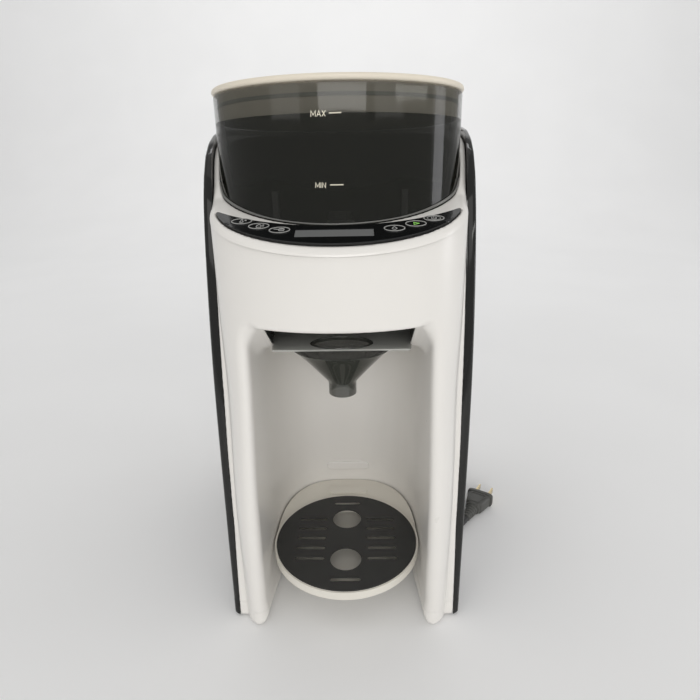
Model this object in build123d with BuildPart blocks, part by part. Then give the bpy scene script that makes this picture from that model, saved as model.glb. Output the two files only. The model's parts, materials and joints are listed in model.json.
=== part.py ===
from build123d import *
import math
import os

os.makedirs("parts", exist_ok=True)

# ---------------------------------------------------------------- driving dimensions (mm)
# Frame: +Z up, +Y to the back, X to the right, origin on the table under the middle of the
# machine. The bottle axis (tray centre, funnel nozzle) stands at y = YT.
YT = -96.0            # bottle axis
SL = 0.33             # rise of the control deck per mm towards the back
ZD0 = 283.0           # height of the deck at its front edge
YF = YT - 47.0        # front edge of the black panel
SEAM_DROP = 6.3       # seam groove below the deck edge
WALL = 2.6            # housing wall
W_REAR = 88.5         # half width of the body behind the bottle bay
Y_SPLIT = YT + 110.0  # front housing meets rear housing
Y_BACK = YT + 250.0   # back of the machine
BAY_HALF = 59.0       # bottle bay half width
BAY_BACK = YT + 88.0  # bay back wall
CEIL = 198.4          # bay ceiling
CON_A, CON_B, CON_Y = 82.5, 62.5, YT + 40.0   # powder container half axes and centre
CON_Z0 = 260.3        # container underside
CON_RIM = 368.4       # container rim height at its front
RIM_SLOPE = -0.05     # rim falls towards the back
CON_WALL = 2.2
MAT_R = 56.0
MAT_TOP = 38.0
TRAY_R = 57.8
NOZZLE_R = 10.0
NOZZLE_Z = 168.0
BOWL_R = 34.2
CORD_D = 6.0
UNDERCUT = 12.0       # height of the cord channel along the lower edges
UNDER_X = 57.4        # its inner wall

NRM = math.hypot(1.0, SL)
DECK_N = (0.0, -SL / NRM, 1.0 / NRM)
DECK = Plane(origin=(0, YF, ZD0), x_dir=(1, 0, 0), z_dir=DECK_N)
SEAM = Plane(origin=(0, YF - 3.2, ZD0 - SEAM_DROP - 1.0), x_dir=(1, 0, 0), z_dir=DECK_N)
RIM_N = (0.0, -RIM_SLOPE / math.hypot(1, RIM_SLOPE), 1.0 / math.hypot(1, RIM_SLOPE))


def deck_z(y):
    return ZD0 + SL * (y - YF)


def deck_plane(offset):
    o = offset
    return Plane(origin=(0, YF + DECK_N[1] * o, ZD0 + DECK_N[2] * o), x_dir=(1, 0, 0), z_dir=DECK_N)


def rim_plane(dz):
    return Plane(origin=(0, CON_Y - CON_B, CON_RIM + dz), x_dir=(1, 0, 0), z_dir=RIM_N)


def front_pts(a, b, yc, n, count=17):
    """Points of the rounded front, from (-a, yc) round the nose to (a, yc)."""
    pts = []
    for i in range(count):
        t = math.pi * i / (count - 1)
        c, s = math.cos(t), math.sin(t)
        x = -a * math.copysign(abs(c) ** (2.0 / n), c)
        pts.append((x, yc - b * abs(s) ** (2.0 / n)))
    return pts


def back_pts(a, b, yc, n, count=17):
    """The same for a rounded back, from (a, yc) round to (-a, yc)."""
    return [(-x, 2 * yc - y) for x, y in front_pts(a, b, yc, n, count)]


# front housing sections: height, half width, nose depth, nose centre, squareness
SECT = [
    (0.0, 80.8, 72.0, YT + 8.0, 3.4),
    (110.0, 82.6, 66.0, YT + 8.0, 2.9),
    (225.0, 84.2, 58.4, YT + 7.0, 2.1),
    (352.0, 84.2, 58.2, YT + 7.0, 2.0),
]


def front_outline(a, b, yc, n, w, yback, d=0.0):
    """Closed plan outline of the front shell, d mm inside the outer surface."""
    pts = front_pts(a - d, b - d, yc, n)
    Spline(*pts)
    Polyline((a - d, yc), (w - d, YT + 52.0), (w - d, yback), (-(w - d), yback),
             (-(w - d), YT + 52.0), (-(a - d), yc))


# ---------------------------------------------------------------- tool solids for the bay
BAY_N = 2.8


def bay_outline(half, back):
    Spline(*back_pts(half, back - (YT + 5.0), YT + 5.0, BAY_N))
    Polyline((-half, YT + 5.0), (-half, YT - 110.0), (half, YT - 110.0), (half, YT + 5.0))


def bay_tool(d):
    """Space of the bottle bay grown by d: well, flat underside of the head and its slope."""
    with BuildPart() as tool:
        with BuildSketch(Plane.XY.offset(-5.0)):
            with BuildLine():
                bay_outline(BAY_HALF + d, BAY_BACK + d)
            make_face()
        extrude(amount=CEIL + d + 5.0)
        with BuildSketch(Plane.YZ.offset(-(BAY_HALF + d))):
            with BuildLine():
                Polyline((YT - 110.0, -5.0), (YT - 110.0, 229.5 + d), (YT - 36.0 + 0.6 * d, 229.5 + d),
                         (YT + 6.6 + 0.6 * d, CEIL + d), (YT + 6.6 + 0.6 * d, -5.0), close=True)
            make_face()
        extrude(amount=2 * (BAY_HALF + d))
    return tool.part


bay_space = bay_tool(0.0)
bay_liner = bay_tool(2.4)


def undercut_tool(d):
    """Cord channels along both lower edges, grown by d."""
    with BuildPart() as tool:
        with BuildSketch(Plane.XY.offset(-6.0)):
            with Locations((UNDER_X + 20.0 - d / 2, YT + 157.0), (-(UNDER_X + 20.0 - d / 2), YT + 157.0)):
                Rectangle(40.0 + d, 208.0 + 2 * d)
            with Locations((82.0 - d / 2, YT + 52.0), (-(82.0 - d / 2), YT + 52.0)):
                Rectangle(40.0 + d, 22.0 + 2 * d)
        extrude(amount=UNDERCUT + 6.0 + d)
    return tool.part


under_space = undercut_tool(0.0)
under_liner = undercut_tool(2.4)

with BuildPart() as front_void:
    for z, a, b, yc, n in SECT:
        with BuildSketch(Plane.XY.offset(z if z > 0 else 4.2)):
            with BuildLine():
                front_outline(a, b, yc, n, W_REAR, Y_SPLIT + 4.0, WALL)
            make_face()
    loft()
    add(bay_liner, mode=Mode.SUBTRACT)
    add(under_liner, mode=Mode.SUBTRACT)

# ---------------------------------------------------------------- housing
with BuildPart() as front_housing:
    for z, a, b, yc, n in SECT:
        with BuildSketch(Plane.XY.offset(z)):
            with BuildLine():
                front_outline(a, b, yc, n, W_REAR, Y_SPLIT)
            make_face()
    loft()
    split(bisect_by=SEAM, keep=Keep.BOTTOM)
    add(front_void.part, mode=Mode.SUBTRACT)
    add(bay_space, mode=Mode.SUBTRACT)
    # drawer slot for the funnel, and the opening its bowl slides through
    with BuildSketch(Plane.XY.offset(200.6)):
        with BuildLine():
            Polyline((-47.6, YT - 70), (-47.6, YT - 12), (-51.8, YT + 14), (-51.8, YT + 53),
                     (51.8, YT + 53), (51.8, YT + 14), (47.6, YT - 12), (47.6, YT - 70), close=True)
        make_face()
    extrude(amount=28.9, mode=Mode.SUBTRACT)
    # its lower part is as wide as the drawer plate all the way out
    with BuildSketch(Plane.XY.offset(200.6)):
        with Locations((0, YT - 8.5)):
            Rectangle(103.6, 123.0)
    extrude(amount=7.6, mode=Mode.SUBTRACT)
    with BuildSketch(Plane.XY.offset(195.0)):
        with Locations((0, YT - 20.0)):
            Rectangle(71.0, 111.0)
    extrude(amount=8.0, mode=Mode.SUBTRACT)
    # cord channels, and the rounded inner corners of the two leg noses
    add(under_space, mode=Mode.SUBTRACT)
    with BuildSketch(Plane.XY.offset(-1.0)):
        for sx in (1, -1):
            with BuildLine():
                Spline((sx * 58.9, YT - 41.0), (sx * 59.9, YT - 46.5), (sx * 62.4, YT - 50.3), (sx * 66.5, YT - 52.0))
                Polyline((sx * 66.5, YT - 52.0), (sx * 66.5, YT - 80.0), (sx * 50.0, YT - 80.0), (sx * 50.0, YT - 41.0),
                         (sx * 58.9, YT - 41.0))
            make_face()
    extrude(amount=205.0, mode=Mode.SUBTRACT)
    # underside raised by the thickness of the foot pads
    with BuildSketch(Plane.XY.offset(-1.0)):
        Rectangle(300, 600)
    extrude(amount=2.2, mode=Mode.SUBTRACT)
    # raised pill on the back wall, and the hook slot for the tray under it
    with BuildSketch(Plane(origin=(0, BAY_BACK + 1.0, 50.5), x_dir=(1, 0, 0), z_dir=(0, -1, 0))):
        SlotOverall(40.0, 8.6)
    extrude(amount=2.6)
    with BuildSketch(Plane(origin=(0, BAY_BACK + 4.0, 32.2), x_dir=(1, 0, 0), z_dir=(0, -1, 0))):
        Rectangle(31.0, 5.2)
    extrude(amount=8.0, mode=Mode.SUBTRACT)
    # water tube passage behind the funnel slot
    with Locations(Plane(origin=(0, YT + 50.0, 222.0), z_dir=(0, 1, 0))):
        Cylinder(4.2, 14.0, mode=Mode.SUBTRACT)
front_housing.part.label = "front_housing"
export_step(front_housing.part, "parts/front_housing.step")

# deck ring with the container well and the two rising shoulders
SHOULDER = [(YT - 70.0, 240.0), (YT - 70.0, deck_z(YT - 70.0)), (YT + 14.0, deck_z(YT + 14.0))]
with BuildPart() as control_bezel:
    with BuildSketch(Plane.YZ.offset(-95.0)):
        with BuildLine():
            Polyline(*[(y, z) for y, z in SHOULDER])
            Spline((YT + 14.0, deck_z(YT + 14.0)), (YT + 26.0, 312.0), (YT + 42.0, 330.0), (YT + 70.0, 342.0),
                   (YT + 109.7, 346.0), tangents=[(1.0, SL), (1.0, 0.02)])
            Polyline((YT + 109.7, 346.0), (YT + 109.7, 240.0), (YT - 70.0, 240.0))
        make_face()
    extrude(amount=190.0)
    with BuildSketch(Plane.XY.offset(230.0)):
        with BuildLine():
            front_outline(84.2, 58.3, YT + 7.0, 2.05, W_REAR, Y_SPLIT - 0.3)
        make_face()
    extrude(amount=130.0, mode=Mode.INTERSECT)
    split(bisect_by=SEAM.offset(0.3), keep=Keep.TOP)
    # well for the powder container
    with BuildSketch(Plane.XY.offset(230.0)):
        with Locations((0, CON_Y)):
            Ellipse(CON_A + 0.6, CON_B + 0.6)
    extrude(amount=130.0, mode=Mode.SUBTRACT)
    # recess of the black panel, and the window under it
    with BuildSketch(deck_plane(-2.4)) as _recess:
        with Locations((0, (YT + 7.0 - YF) * NRM)):
            Ellipse(80.4, 54.2 * NRM)
        with Locations((0, (CON_Y - YF) * NRM)):
            Ellipse(CON_A + 2.4, (CON_B + 2.4) * NRM, mode=Mode.SUBTRACT)
        with Locations((0, (YT + 55.0 - YF) * NRM)):
            Rectangle(220, 100 * NRM, mode=Mode.SUBTRACT)
    extrude(amount=8.0, mode=Mode.SUBTRACT)
    with BuildSketch(deck_plane(-12.0)):
        with Locations((0, (YT + 7.0 - YF) * NRM)):
            Ellipse(77.6, 51.2 * NRM)
        with Locations((0, (CON_Y - YF) * NRM)):
            Ellipse(CON_A + 5.0, (CON_B + 4.6) * NRM, mode=Mode.SUBTRACT)
        with Locations((0, (YT + 46.0 - YF) * NRM)):
            Rectangle(220, 100 * NRM, mode=Mode.SUBTRACT)
    extrude(amount=12.0, mode=Mode.SUBTRACT)
control_bezel.part.label = "control_bezel"
export_step(control_bezel.part, "parts/control_bezel.step")

# ---------------------------------------------------------------- control panel and buttons
BTN = [(-59.1, YT - 18.3), (-47.5, YT - 25.0), (-34.3, YT - 30.5), (34.3, YT - 30.5), (47.5, YT - 25.0), (59.1, YT - 18.3)]
BTN_TURN = [2, 2, 2, 0, 0, 0]


def on_deck(x, y):
    """Deck plane coordinates of a plan position."""
    return (x, (y - YF) * NRM)


with BuildPart() as control_panel:
    with BuildSketch(deck_plane(-2.3)):
        with Locations(on_deck(0, YT + 7.0)):
            Ellipse(80.1, 53.9 * NRM)
        with Locations(on_deck(0, CON_Y)):
            Ellipse(CON_A + 2.7, (CON_B + 2.7) * NRM, mode=Mode.SUBTRACT)
        with Locations(on_deck(0, YT + 54.7)):
            Rectangle(220, 100 * NRM, mode=Mode.SUBTRACT)
        for (bx, by), turn in zip(BTN, BTN_TURN):
            with Locations(Location((*on_deck(bx, by), 0), (0, 0, turn))):
                Ellipse(7.2, 4.7, mode=Mode.SUBTRACT)
        with Locations(on_deck(-1.5, YT - 34.4)):
            Rectangle(47.0, 9.4, mode=Mode.SUBTRACT)
    extrude(amount=2.2)
control_panel.part.label = "control_panel"
export_step(control_panel.part, "parts/control_panel.step")

for i, ((bx, by), turn) in enumerate(zip(BTN, BTN_TURN), 1):
    with BuildPart() as button:
        with BuildSketch(deck_plane(-3.0)):
            with Locations(Location((*on_deck(bx, by), 0), (0, 0, turn))):
                Ellipse(6.9, 4.4)
        extrude(amount=3.3)
        with BuildSketch(deck_plane(-4.6)):
            with Locations(Location((*on_deck(bx, by), 0), (0, 0, turn))):
                Ellipse(3.0, 2.2)
        extrude(amount=1.7)
        fillet(button.faces().sort_by(Axis(origin=(0, 0, 0), direction=DECK_N))[-1].edges(), 0.35)
    button.part.label = "button_%d" % i
    export_step(button.part, "parts/button_%d.step" % i)

with BuildPart() as display_window:
    with BuildSketch(deck_plane(-1.9)):
        with Locations(on_deck(-1.5, YT - 34.4)):
            Rectangle(46.7, 9.1)
    extrude(amount=1.5)
display_window.part.label = "display_window"
export_step(display_window.part, "parts/display_window.step")

with BuildPart() as display_module:
    with BuildSketch(deck_plane(-5.4)):
        with Locations(on_deck(-1.5, YT - 34.4)):
            Rectangle(50.0, 11.6)
    extrude(amount=2.9)
    with BuildSketch(deck_plane(-2.5)):
        with Locations(on_deck(-1.5, YT - 34.4)):
            Rectangle(45.0, 8.4)
    extrude(amount=0.4)
display_module.part.label = "display_module"
export_step(display_module.part, "parts/display_module.step")

with BuildPart() as ui_board:
    with BuildSketch(deck_plane(-9.0)):
        with Locations(on_deck(0, YT + 7.0)):
            Ellipse(75.4, 49.6 * NRM)
        with Locations(on_deck(0, CON_Y)):
            Ellipse(CON_A + 5.6, (CON_B + 5.2) * NRM, mode=Mode.SUBTRACT)
        with Locations(on_deck(0, YT + 40.0)):
            Rectangle(220, 100 * NRM, mode=Mode.SUBTRACT)
    extrude(amount=1.6)
    with BuildSketch(deck_plane(-7.5)):
        for bx, by in BTN:
            with Locations(on_deck(bx, by)):
                Rectangle(5.0, 5.0)
    extrude(amount=1.3)
    with BuildSketch(deck_plane(-7.5)):
        with Locations(on_deck(-24.0, YT - 34.4), on_deck(21.0, YT - 34.4)):
            Rectangle(3.0, 6.0)
    extrude(amount=2.1)
ui_board.part.label = "ui_board"
export_step(ui_board.part, "parts/ui_board.step")

# ---------------------------------------------------------------- side panels
# outer curve of the black panels at five heights: half width at y = -34, 10, 50, 100, 152
PANEL = [
    (5.0, (86.6, 91.6, 94.6, 95.0, 90.4)),
    (60.0, (87.4, 94.4, 98.4, 98.2, 90.8)),
    (160.0, (88.0, 96.8, 102.0, 101.0, 91.0)),
    (270.0, (86.8, 93.8, 97.6, 97.4, 90.6)),
    (352.0, (86.2, 90.6, 92.8, 92.6, 89.8)),
]
PANEL_Y = (YT - 44.0, YT + 10.0, YT + 50.0, YT + 100.0, YT + 152.0)
for side, name in ((1, "side_panel_right"), (-1, "side_panel_left")):
    with BuildPart() as side_panel:
        for z, outer in PANEL:
            with BuildSketch(Plane.XY.offset(z)):
                with BuildLine():
                    Spline(*[(side * x, y) for x, y in zip(outer, PANEL_Y)])
                    Polyline((side * outer[-1], PANEL_Y[-1]), (side * 70.0, PANEL_Y[-1]),
                             (side * 70.0, PANEL_Y[0]), (side * outer[0], PANEL_Y[0]))
                make_face()
        loft()
        # everything inside the white body, with a 0.4 mm joint line
        for z, a, b, yc, n in SECT:
            with BuildSketch(Plane.XY.offset(z)):
                with BuildLine():
                    front_outline(a, b, yc, n, W_REAR, YT + 170.0, -0.4)
                make_face()
        loft(mode=Mode.SUBTRACT)
        # profile seen from the side: leaning front edge, sweeping top, undercut bottom
        with BuildSketch(Plane.YZ.offset(-110.0)):
            with BuildLine():
                Spline((YT - 34.0, 9.0), (YT - 27.0, 60.0), (YT - 10.0, 140.0), (YT + 6.0, 230.0), (YT + 17.0, 300.0),
                       (YT + 32.0, 330.0), (YT + 62.0, 345.0), (YT + 110.0, 350.0), (YT + 148.0, 350.0))
                Polyline((YT + 148.0, 350.0), (YT + 150.0, 346.0), (YT + 150.0, UNDERCUT + 1.0), (YT + 14.0, UNDERCUT + 1.0),
                         (YT + 4.0, 5.2), (YT - 32.0, 5.2), (YT - 34.0, 9.0))
            make_face()
        extrude(amount=220.0, mode=Mode.INTERSECT)
    side_panel.part.label = name
    export_step(side_panel.part, "parts/%s.step" % name)

# ---------------------------------------------------------------- rear body


def rear_outline(d, yfront):
    """Plan of the rear body, d mm inside the outer surface."""
    Spline(*back_pts(W_REAR - d, Y_BACK - d - (YT + 178.0), YT + 178.0, 2.7))
    Polyline((-(W_REAR - d), YT + 178.0), (-(W_REAR - d), yfront), (W_REAR - d, yfront), (W_REAR - d, YT + 178.0))


with BuildPart() as rear_void:
    with BuildSketch(Plane.XY.offset(5.6)):
        with BuildLine():
            rear_outline(WALL, Y_SPLIT - 2.0)
        make_face()
    extrude(amount=156.6)
    add(under_liner, mode=Mode.SUBTRACT)

with BuildPart() as rear_housing:
    with BuildSketch(Plane.XY.offset(3.0)):
        with BuildLine():
            rear_outline(0.0, Y_SPLIT + 0.3)
        make_face()
    extrude(amount=162.0)
    with BuildSketch(Plane.XY.offset(100.0)):
        with Locations((0, YT + 134.15)):
            Rectangle(2 * W_REAR, 47.7)
    extrude(amount=246.0)
    add(rear_void.part, mode=Mode.SUBTRACT)
    add(under_space, mode=Mode.SUBTRACT)
    with BuildSketch(Plane.XY.offset(100.0)):
        with Locations((0, YT + 131.7)):
            Rectangle(2 * (W_REAR - WALL), 47.4)
    extrude(amount=243.4, mode=Mode.SUBTRACT)
    # tank valve opening, gland hole, vent slots in the back
    with Locations((-34.0, YT + 205.0, 163.0)):
        Cylinder(14.0, 12.0, mode=Mode.SUBTRACT)
    with Locations(Plane(origin=(20.0, Y_BACK, 20.0), z_dir=(0, 1, 0))):
        Cylinder(6.0, 30.0, mode=Mode.SUBTRACT)
    for k in range(7):
        with BuildSketch(Plane(origin=(0, Y_BACK - 8.0, 70.0 + 9.0 * k), x_dir=(1, 0, 0), z_dir=(0, 1, 0))):
            SlotOverall(56.0, 3.2)
        extrude(amount=20.0, mode=Mode.SUBTRACT)
rear_housing.part.label = "rear_housing"
export_step(rear_housing.part, "parts/rear_housing.step")

with BuildPart() as rear_cap:
    with BuildSketch(Plane.XY.offset(346.3)):
        with Locations((0, YT + 134.0)):
            RectangleRounded(2 * W_REAR - 1.0, 47.0, 6.0)
    extrude(amount=3.2)
    fillet(rear_cap.faces().sort_by(Axis.Z)[-1].edges(), 1.4)
rear_cap.part.label = "rear_cap"
export_step(rear_cap.part, "parts/rear_cap.step")

with BuildPart() as base_plate:
    with BuildSketch(Plane.XY.offset(1.2)):
        with Locations((0, YT + 180.0)):
            RectangleRounded(112.0, 134.0, 10.0)
    extrude(amount=1.6)
    with BuildSketch(Plane.XY.offset(1.2)):
        with Locations((46.0, YT + 124.0), (-46.0, YT + 124.0), (46.0, YT + 236.0), (-46.0, YT + 236.0)):
            Circle(1.9)
    extrude(amount=3.0, mode=Mode.SUBTRACT)
base_plate.part.label = "base_plate"
export_step(base_plate.part, "parts/base_plate.step")

with BuildPart() as rubber_feet:
    with BuildSketch(Plane.XY):
        with Locations((66.0, YT - 36.0), (-66.0, YT - 36.0)):
            Circle(6.0)
    extrude(amount=1.2)
    with BuildSketch(Plane.XY):
        with Locations((44.0, YT + 218.0), (-44.0, YT + 218.0)):
            Circle(9.0)
    extrude(amount=1.2)
    chamfer(rubber_feet.faces().filter_by(Plane.XY).group_by(Axis.Z)[0].edges(), 0.3)
rubber_feet.part.label = "rubber_feet"
export_step(rubber_feet.part, "parts/rubber_feet.step")

with BuildPart() as assembly_screws:
    with BuildSketch(Plane.XY.offset(0.9)):
        with Locations((46.0, YT + 124.0), (-46.0, YT + 124.0), (46.0, YT + 236.0), (-46.0, YT + 236.0)):
            Circle(3.2)
            RegularPolygon(1.1, 6, mode=Mode.SUBTRACT)
    extrude(amount=0.3)
    with BuildSketch(Plane.XY.offset(1.2)):
        with Locations((46.0, YT + 124.0), (-46.0, YT + 124.0), (46.0, YT + 236.0), (-46.0, YT + 236.0)):
            Circle(1.5)
    extrude(amount=1.8)
assembly_screws.part.label = "assembly_screws"
export_step(assembly_screws.part, "parts/assembly_screws.step")

# ---------------------------------------------------------------- inner works
with BuildPart() as chassis:
    with BuildSketch(Plane.XY.offset(232.3)):
        with BuildLine():
            front_outline(80.4, 54.2, YT + 7.0, 2.0, 84.8, Y_SPLIT - 0.4)
        make_face()
        with Locations((0, YT)):
            Circle(8.4, mode=Mode.SUBTRACT)
        with Locations((0, YT + 12.0)):
            Circle(4.0, mode=Mode.SUBTRACT)
    extrude(amount=2.2)
    with BuildSketch(Plane.XY.offset(234.4)):
        with Locations((60.0, YT + 66.0), (-60.0, YT + 66.0), (62.0, YT + 4.0), (-62.0, YT + 4.0)):
            Circle(4.0)
    extrude(amount=22.8)
chassis.part.label = "chassis"
export_step(chassis.part, "parts/chassis.step")

with BuildPart() as container_seat:
    with BuildSketch(Plane.XY.offset(257.3)):
        with BuildLine():
            front_outline(80.2, 54.0, YT + 7.0, 2.0, 84.6, Y_SPLIT - 0.4)
        make_face()
        with Locations((0, CON_Y)):
            Circle(9.0, mode=Mode.SUBTRACT)
        with Locations((0, YT)):
            Circle(12.0, mode=Mode.SUBTRACT)
    extrude(amount=2.6)
container_seat.part.label = "container_seat"
export_step(container_seat.part, "parts/container_seat.step")

with BuildPart() as gearbox:
    with BuildSketch(Plane.XY.offset(235.0)):
        with Locations((0, CON_Y)):
            Circle(27.0)
        with Locations((0, YT + 58.0)):
            Rectangle(36.0, 30.0)
    extrude(amount=19.0)
    with Locations((0, CON_Y, 250.0)):
        Cylinder(3.08, 40.0, mode=Mode.SUBTRACT)
    fillet(gearbox.faces().sort_by(Axis.Z)[-1].outer_wire().edges(), 1.0)
gearbox.part.label = "gearbox"
export_step(gearbox.part, "parts/gearbox.step")

with BuildPart() as drive_motor:
    with Locations(Plane(origin=(0, YT + 73.4, 245.2), z_dir=(0, 1, 0))):
        Cylinder(10.4, 32.0, align=(Align.CENTER, Align.CENTER, Align.MIN))
        Cylinder(4.0, 34.5, align=(Align.CENTER, Align.CENTER, Align.MIN))
drive_motor.part.label = "drive_motor"
export_step(drive_motor.part, "parts/drive_motor.step")

with BuildPart() as shaft_bush:
    with BuildSketch(Plane.XY.offset(254.1)):
        with Locations((0, CON_Y)):
            Circle(7.0)
            Circle(3.08, mode=Mode.SUBTRACT)
    extrude(amount=2.6)
shaft_bush.part.label = "shaft_bush"
export_step(shaft_bush.part, "parts/shaft_bush.step")

# shaft with the cross-shaped dog that enters the wheel hub
with BuildPart() as drive_coupling:
    with Locations((0, CON_Y, 238.0)):
        Cylinder(3.0, 22.0, align=(Align.CENTER, Align.CENTER, Align.MIN))
    with BuildSketch(Plane.XY.offset(257.4)):
        with Locations((0, CON_Y)):
            Circle(8.0)
    extrude(amount=3.0)
    with BuildSketch(Plane.XY.offset(260.4)):
        with Locations((0, CON_Y)):
            Rectangle(12.0, 3.6)
            Rectangle(3.6, 12.0)
    extrude(amount=7.6)
    chamfer(drive_coupling.faces().sort_by(Axis.Z)[-1].edges(), 0.6)
drive_coupling.part.label = "drive_coupling"
export_step(drive_coupling.part, "parts/drive_coupling.step")

with BuildPart() as powder_chute:
    with BuildSketch(Plane(origin=(0, YT, 0), x_dir=(1, 0, 0), z_dir=(0, -1, 0))):
        with BuildLine():
            Polyline((11.3, 257.0), (12.6, 257.0), (12.6, 243.0), (7.2, 235.4), (7.2, 209.0), (5.8, 209.0),
                     (5.8, 236.2), (11.3, 243.8), close=True)
        make_face()
    revolve(axis=Axis((0, YT, 0), (0, 0, 1)))
powder_chute.part.label = "powder_chute"
export_step(powder_chute.part, "parts/powder_chute.step")

with BuildPart() as water_spout:
    with BuildLine() as _sp:
        FilletPolyline((0, YT + 11.2, 209.0), (0, YT + 11.2, 222.0), (0, YT + 70.0, 222.0), radius=6.0)
    with BuildSketch(Plane(origin=(0, YT + 11.2, 209.0), z_dir=(0, 0, 1))):
        Circle(3.0)
        Circle(2.0, mode=Mode.SUBTRACT)
    sweep(path=_sp.wires()[0])
water_spout.part.label = "water_spout"
export_step(water_spout.part, "parts/water_spout.step")

with BuildPart() as water_pump:
    with BuildSketch(Plane.XY.offset(6.0)):
        with Locations((-34.0, YT + 160.0)):
            RectangleRounded(40.0, 52.0, 4.0)
    extrude(amount=26.0)
    with Locations((-34.0, YT + 160.0, 32.0)):
        Cylinder(17.0, 22.0, align=(Align.CENTER, Align.CENTER, Align.MIN))
    with Locations((-34.0, YT + 160.0, 54.0)):
        Cylinder(4.0, 10.0, align=(Align.CENTER, Align.CENTER, Align.MIN))
water_pump.part.label = "water_pump"
export_step(water_pump.part, "parts/water_pump.step")

with BuildPart() as heater_block:
    with BuildSketch(Plane.XY.offset(6.0)):
        with Locations((28.0, YT + 150.0)):
            RectangleRounded(46.0, 50.0, 6.0)
    extrude(amount=60.0)
    with Locations((28.0, YT + 150.0, 66.0)):
        Cylinder(4.0, 9.0, align=(Align.CENTER, Align.CENTER, Align.MIN))
heater_block.part.label = "heater_block"
export_step(heater_block.part, "parts/heater_block.step")

with BuildPart() as heater_tube:
    with BuildLine() as _ht:
        FilletPolyline((28.0, YT + 150.0, 75.2), (28.0, YT + 150.0, 100.0), (0.0, YT + 120.0, 140.0), (0.0, YT + 90.0, 222.0),
                       (0.0, YT + 70.2, 222.0), radius=8.0)
    with BuildSketch(Plane(origin=(28.0, YT + 150.0, 75.2), z_dir=(0, 0, 1))):
        Circle(3.6)
        Circle(2.2, mode=Mode.SUBTRACT)
    sweep(path=_ht.wires()[0])
heater_tube.part.label = "heater_tube"
export_step(heater_tube.part, "parts/heater_tube.step")

with BuildPart() as tank_tube:
    with BuildLine() as _tt:
        FilletPolyline((-34.0, YT + 160.0, 64.2), (-34.0, YT + 160.0, 90.0), (-34.0, YT + 205.0, 120.0),
                       (-34.0, YT + 205.0, 154.6), radius=12.0)
    with BuildSketch(Plane(origin=(-34.0, YT + 160.0, 64.2), z_dir=(0, 0, 1))):
        Circle(4.4)
        Circle(3.0, mode=Mode.SUBTRACT)
    sweep(path=_tt.wires()[0])
tank_tube.part.label = "tank_tube"
export_step(tank_tube.part, "parts/tank_tube.step")

with BuildPart() as main_board:
    with BuildSketch(Plane(origin=(0, YT + 113.6, 0), x_dir=(1, 0, 0), z_dir=(0, -1, 0))):
        with Locations((-46.0, 116.0)):
            Rectangle(72.0, 76.0)
    extrude(amount=1.6)
    with BuildSketch(Plane(origin=(0, YT + 126.0, 0), x_dir=(1, 0, 0), z_dir=(0, -1, 0))):
        with Locations((-58.0, 132.0), (-56.0, 98.0)):
            Rectangle(16.0, 20.0)
        with Locations((-30.0, 100.0), (-30.0, 118.0)):
            Circle(6.0)
    extrude(amount=12.6)
main_board.part.label = "main_board"
export_step(main_board.part, "parts/main_board.step")

# ---------------------------------------------------------------- tank
TANK_Y0 = YT + 161.0


def tank_outline(d):
    Spline(*back_pts(84.4 - d, Y_BACK - 1.6 - d - (YT + 184.0), YT + 184.0, 2.6))
    Polyline((-(84.4 - d), YT + 184.0), (-(84.4 - d), TANK_Y0 + d), (84.4 - d, TANK_Y0 + d), (84.4 - d, YT + 184.0))


with BuildPart() as water_tank:
    with BuildSketch(Plane.XY.offset(168.6)):
        with BuildLine():
            tank_outline(0.0)
        make_face()
    extrude(amount=176.0)
    with BuildSketch(Plane.XY.offset(171.8)):
        with BuildLine():
            tank_outline(2.4)
        make_face()
    extrude(amount=180.0, mode=Mode.SUBTRACT)
    with Locations((-34.0, YT + 205.0, 168.0)):
        Cylinder(6.4, 8.0, mode=Mode.SUBTRACT)
    # ears for the lid pin
    with BuildSketch(Plane.YZ.offset(-70.0)):
        with Locations((TANK_Y0 + 4.0, 346.0)):
            Rectangle(7.0, 9.6)
    extrude(amount=6.0)
    with BuildSketch(Plane.YZ.offset(64.0)):
        with Locations((TANK_Y0 + 4.0, 346.0)):
            Rectangle(7.0, 9.6)
    extrude(amount=6.0)
    with Locations(Plane(origin=(0, TANK_Y0 + 4.0, 348.6), z_dir=(1, 0, 0))):
        Cylinder(1.5, 200.0, mode=Mode.SUBTRACT)
water_tank.part.label = "water_tank"
export_step(water_tank.part, "parts/water_tank.step")

with BuildPart() as tank_lid_pin:
    with Locations(Plane(origin=(0, TANK_Y0 + 4.0, 348.6), z_dir=(1, 0, 0))):
        Cylinder(1.5, 139.0)
tank_lid_pin.part.label = "tank_lid_pin"
export_step(tank_lid_pin.part, "parts/tank_lid_pin.step")

with BuildPart() as tank_lid:
    with BuildSketch(Plane.XY.offset(345.0)):
        with BuildLine():
            tank_outline(0.0)
        make_face()
        with Locations((0, TANK_Y0 + 4.0)):
            Rectangle(180.0, 10.0, mode=Mode.SUBTRACT)
    extrude(amount=4.4)
    fillet(tank_lid.faces().sort_by(Axis.Z)[-1].edges().sort_by(Axis.Y)[2:], 1.0)
    with BuildSketch(Plane.XY.offset(346.4)):
        with Locations((0, TANK_Y0 + 7.6)):
            Rectangle(124.0, 5.2)
    extrude(amount=3.0)
    with BuildSketch(Plane.YZ.offset(-62.0)):
        with Locations((TANK_Y0 + 4.0, 348.6)):
            Circle(3.0)
    extrude(amount=124.0)
    with Locations(Plane(origin=(0, TANK_Y0 + 4.0, 348.6), z_dir=(1, 0, 0))):
        Cylinder(1.55, 200.0, mode=Mode.SUBTRACT)
    # finger lip at the back
    with BuildSketch(Plane.XY.offset(349.2)):
        with Locations((0, Y_BACK - 14.0)):
            SlotOverall(34.0, 7.0)
    extrude(amount=1.6)
tank_lid.part.label = "tank_lid"
export_step(tank_lid.part, "parts/tank_lid.step")

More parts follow.
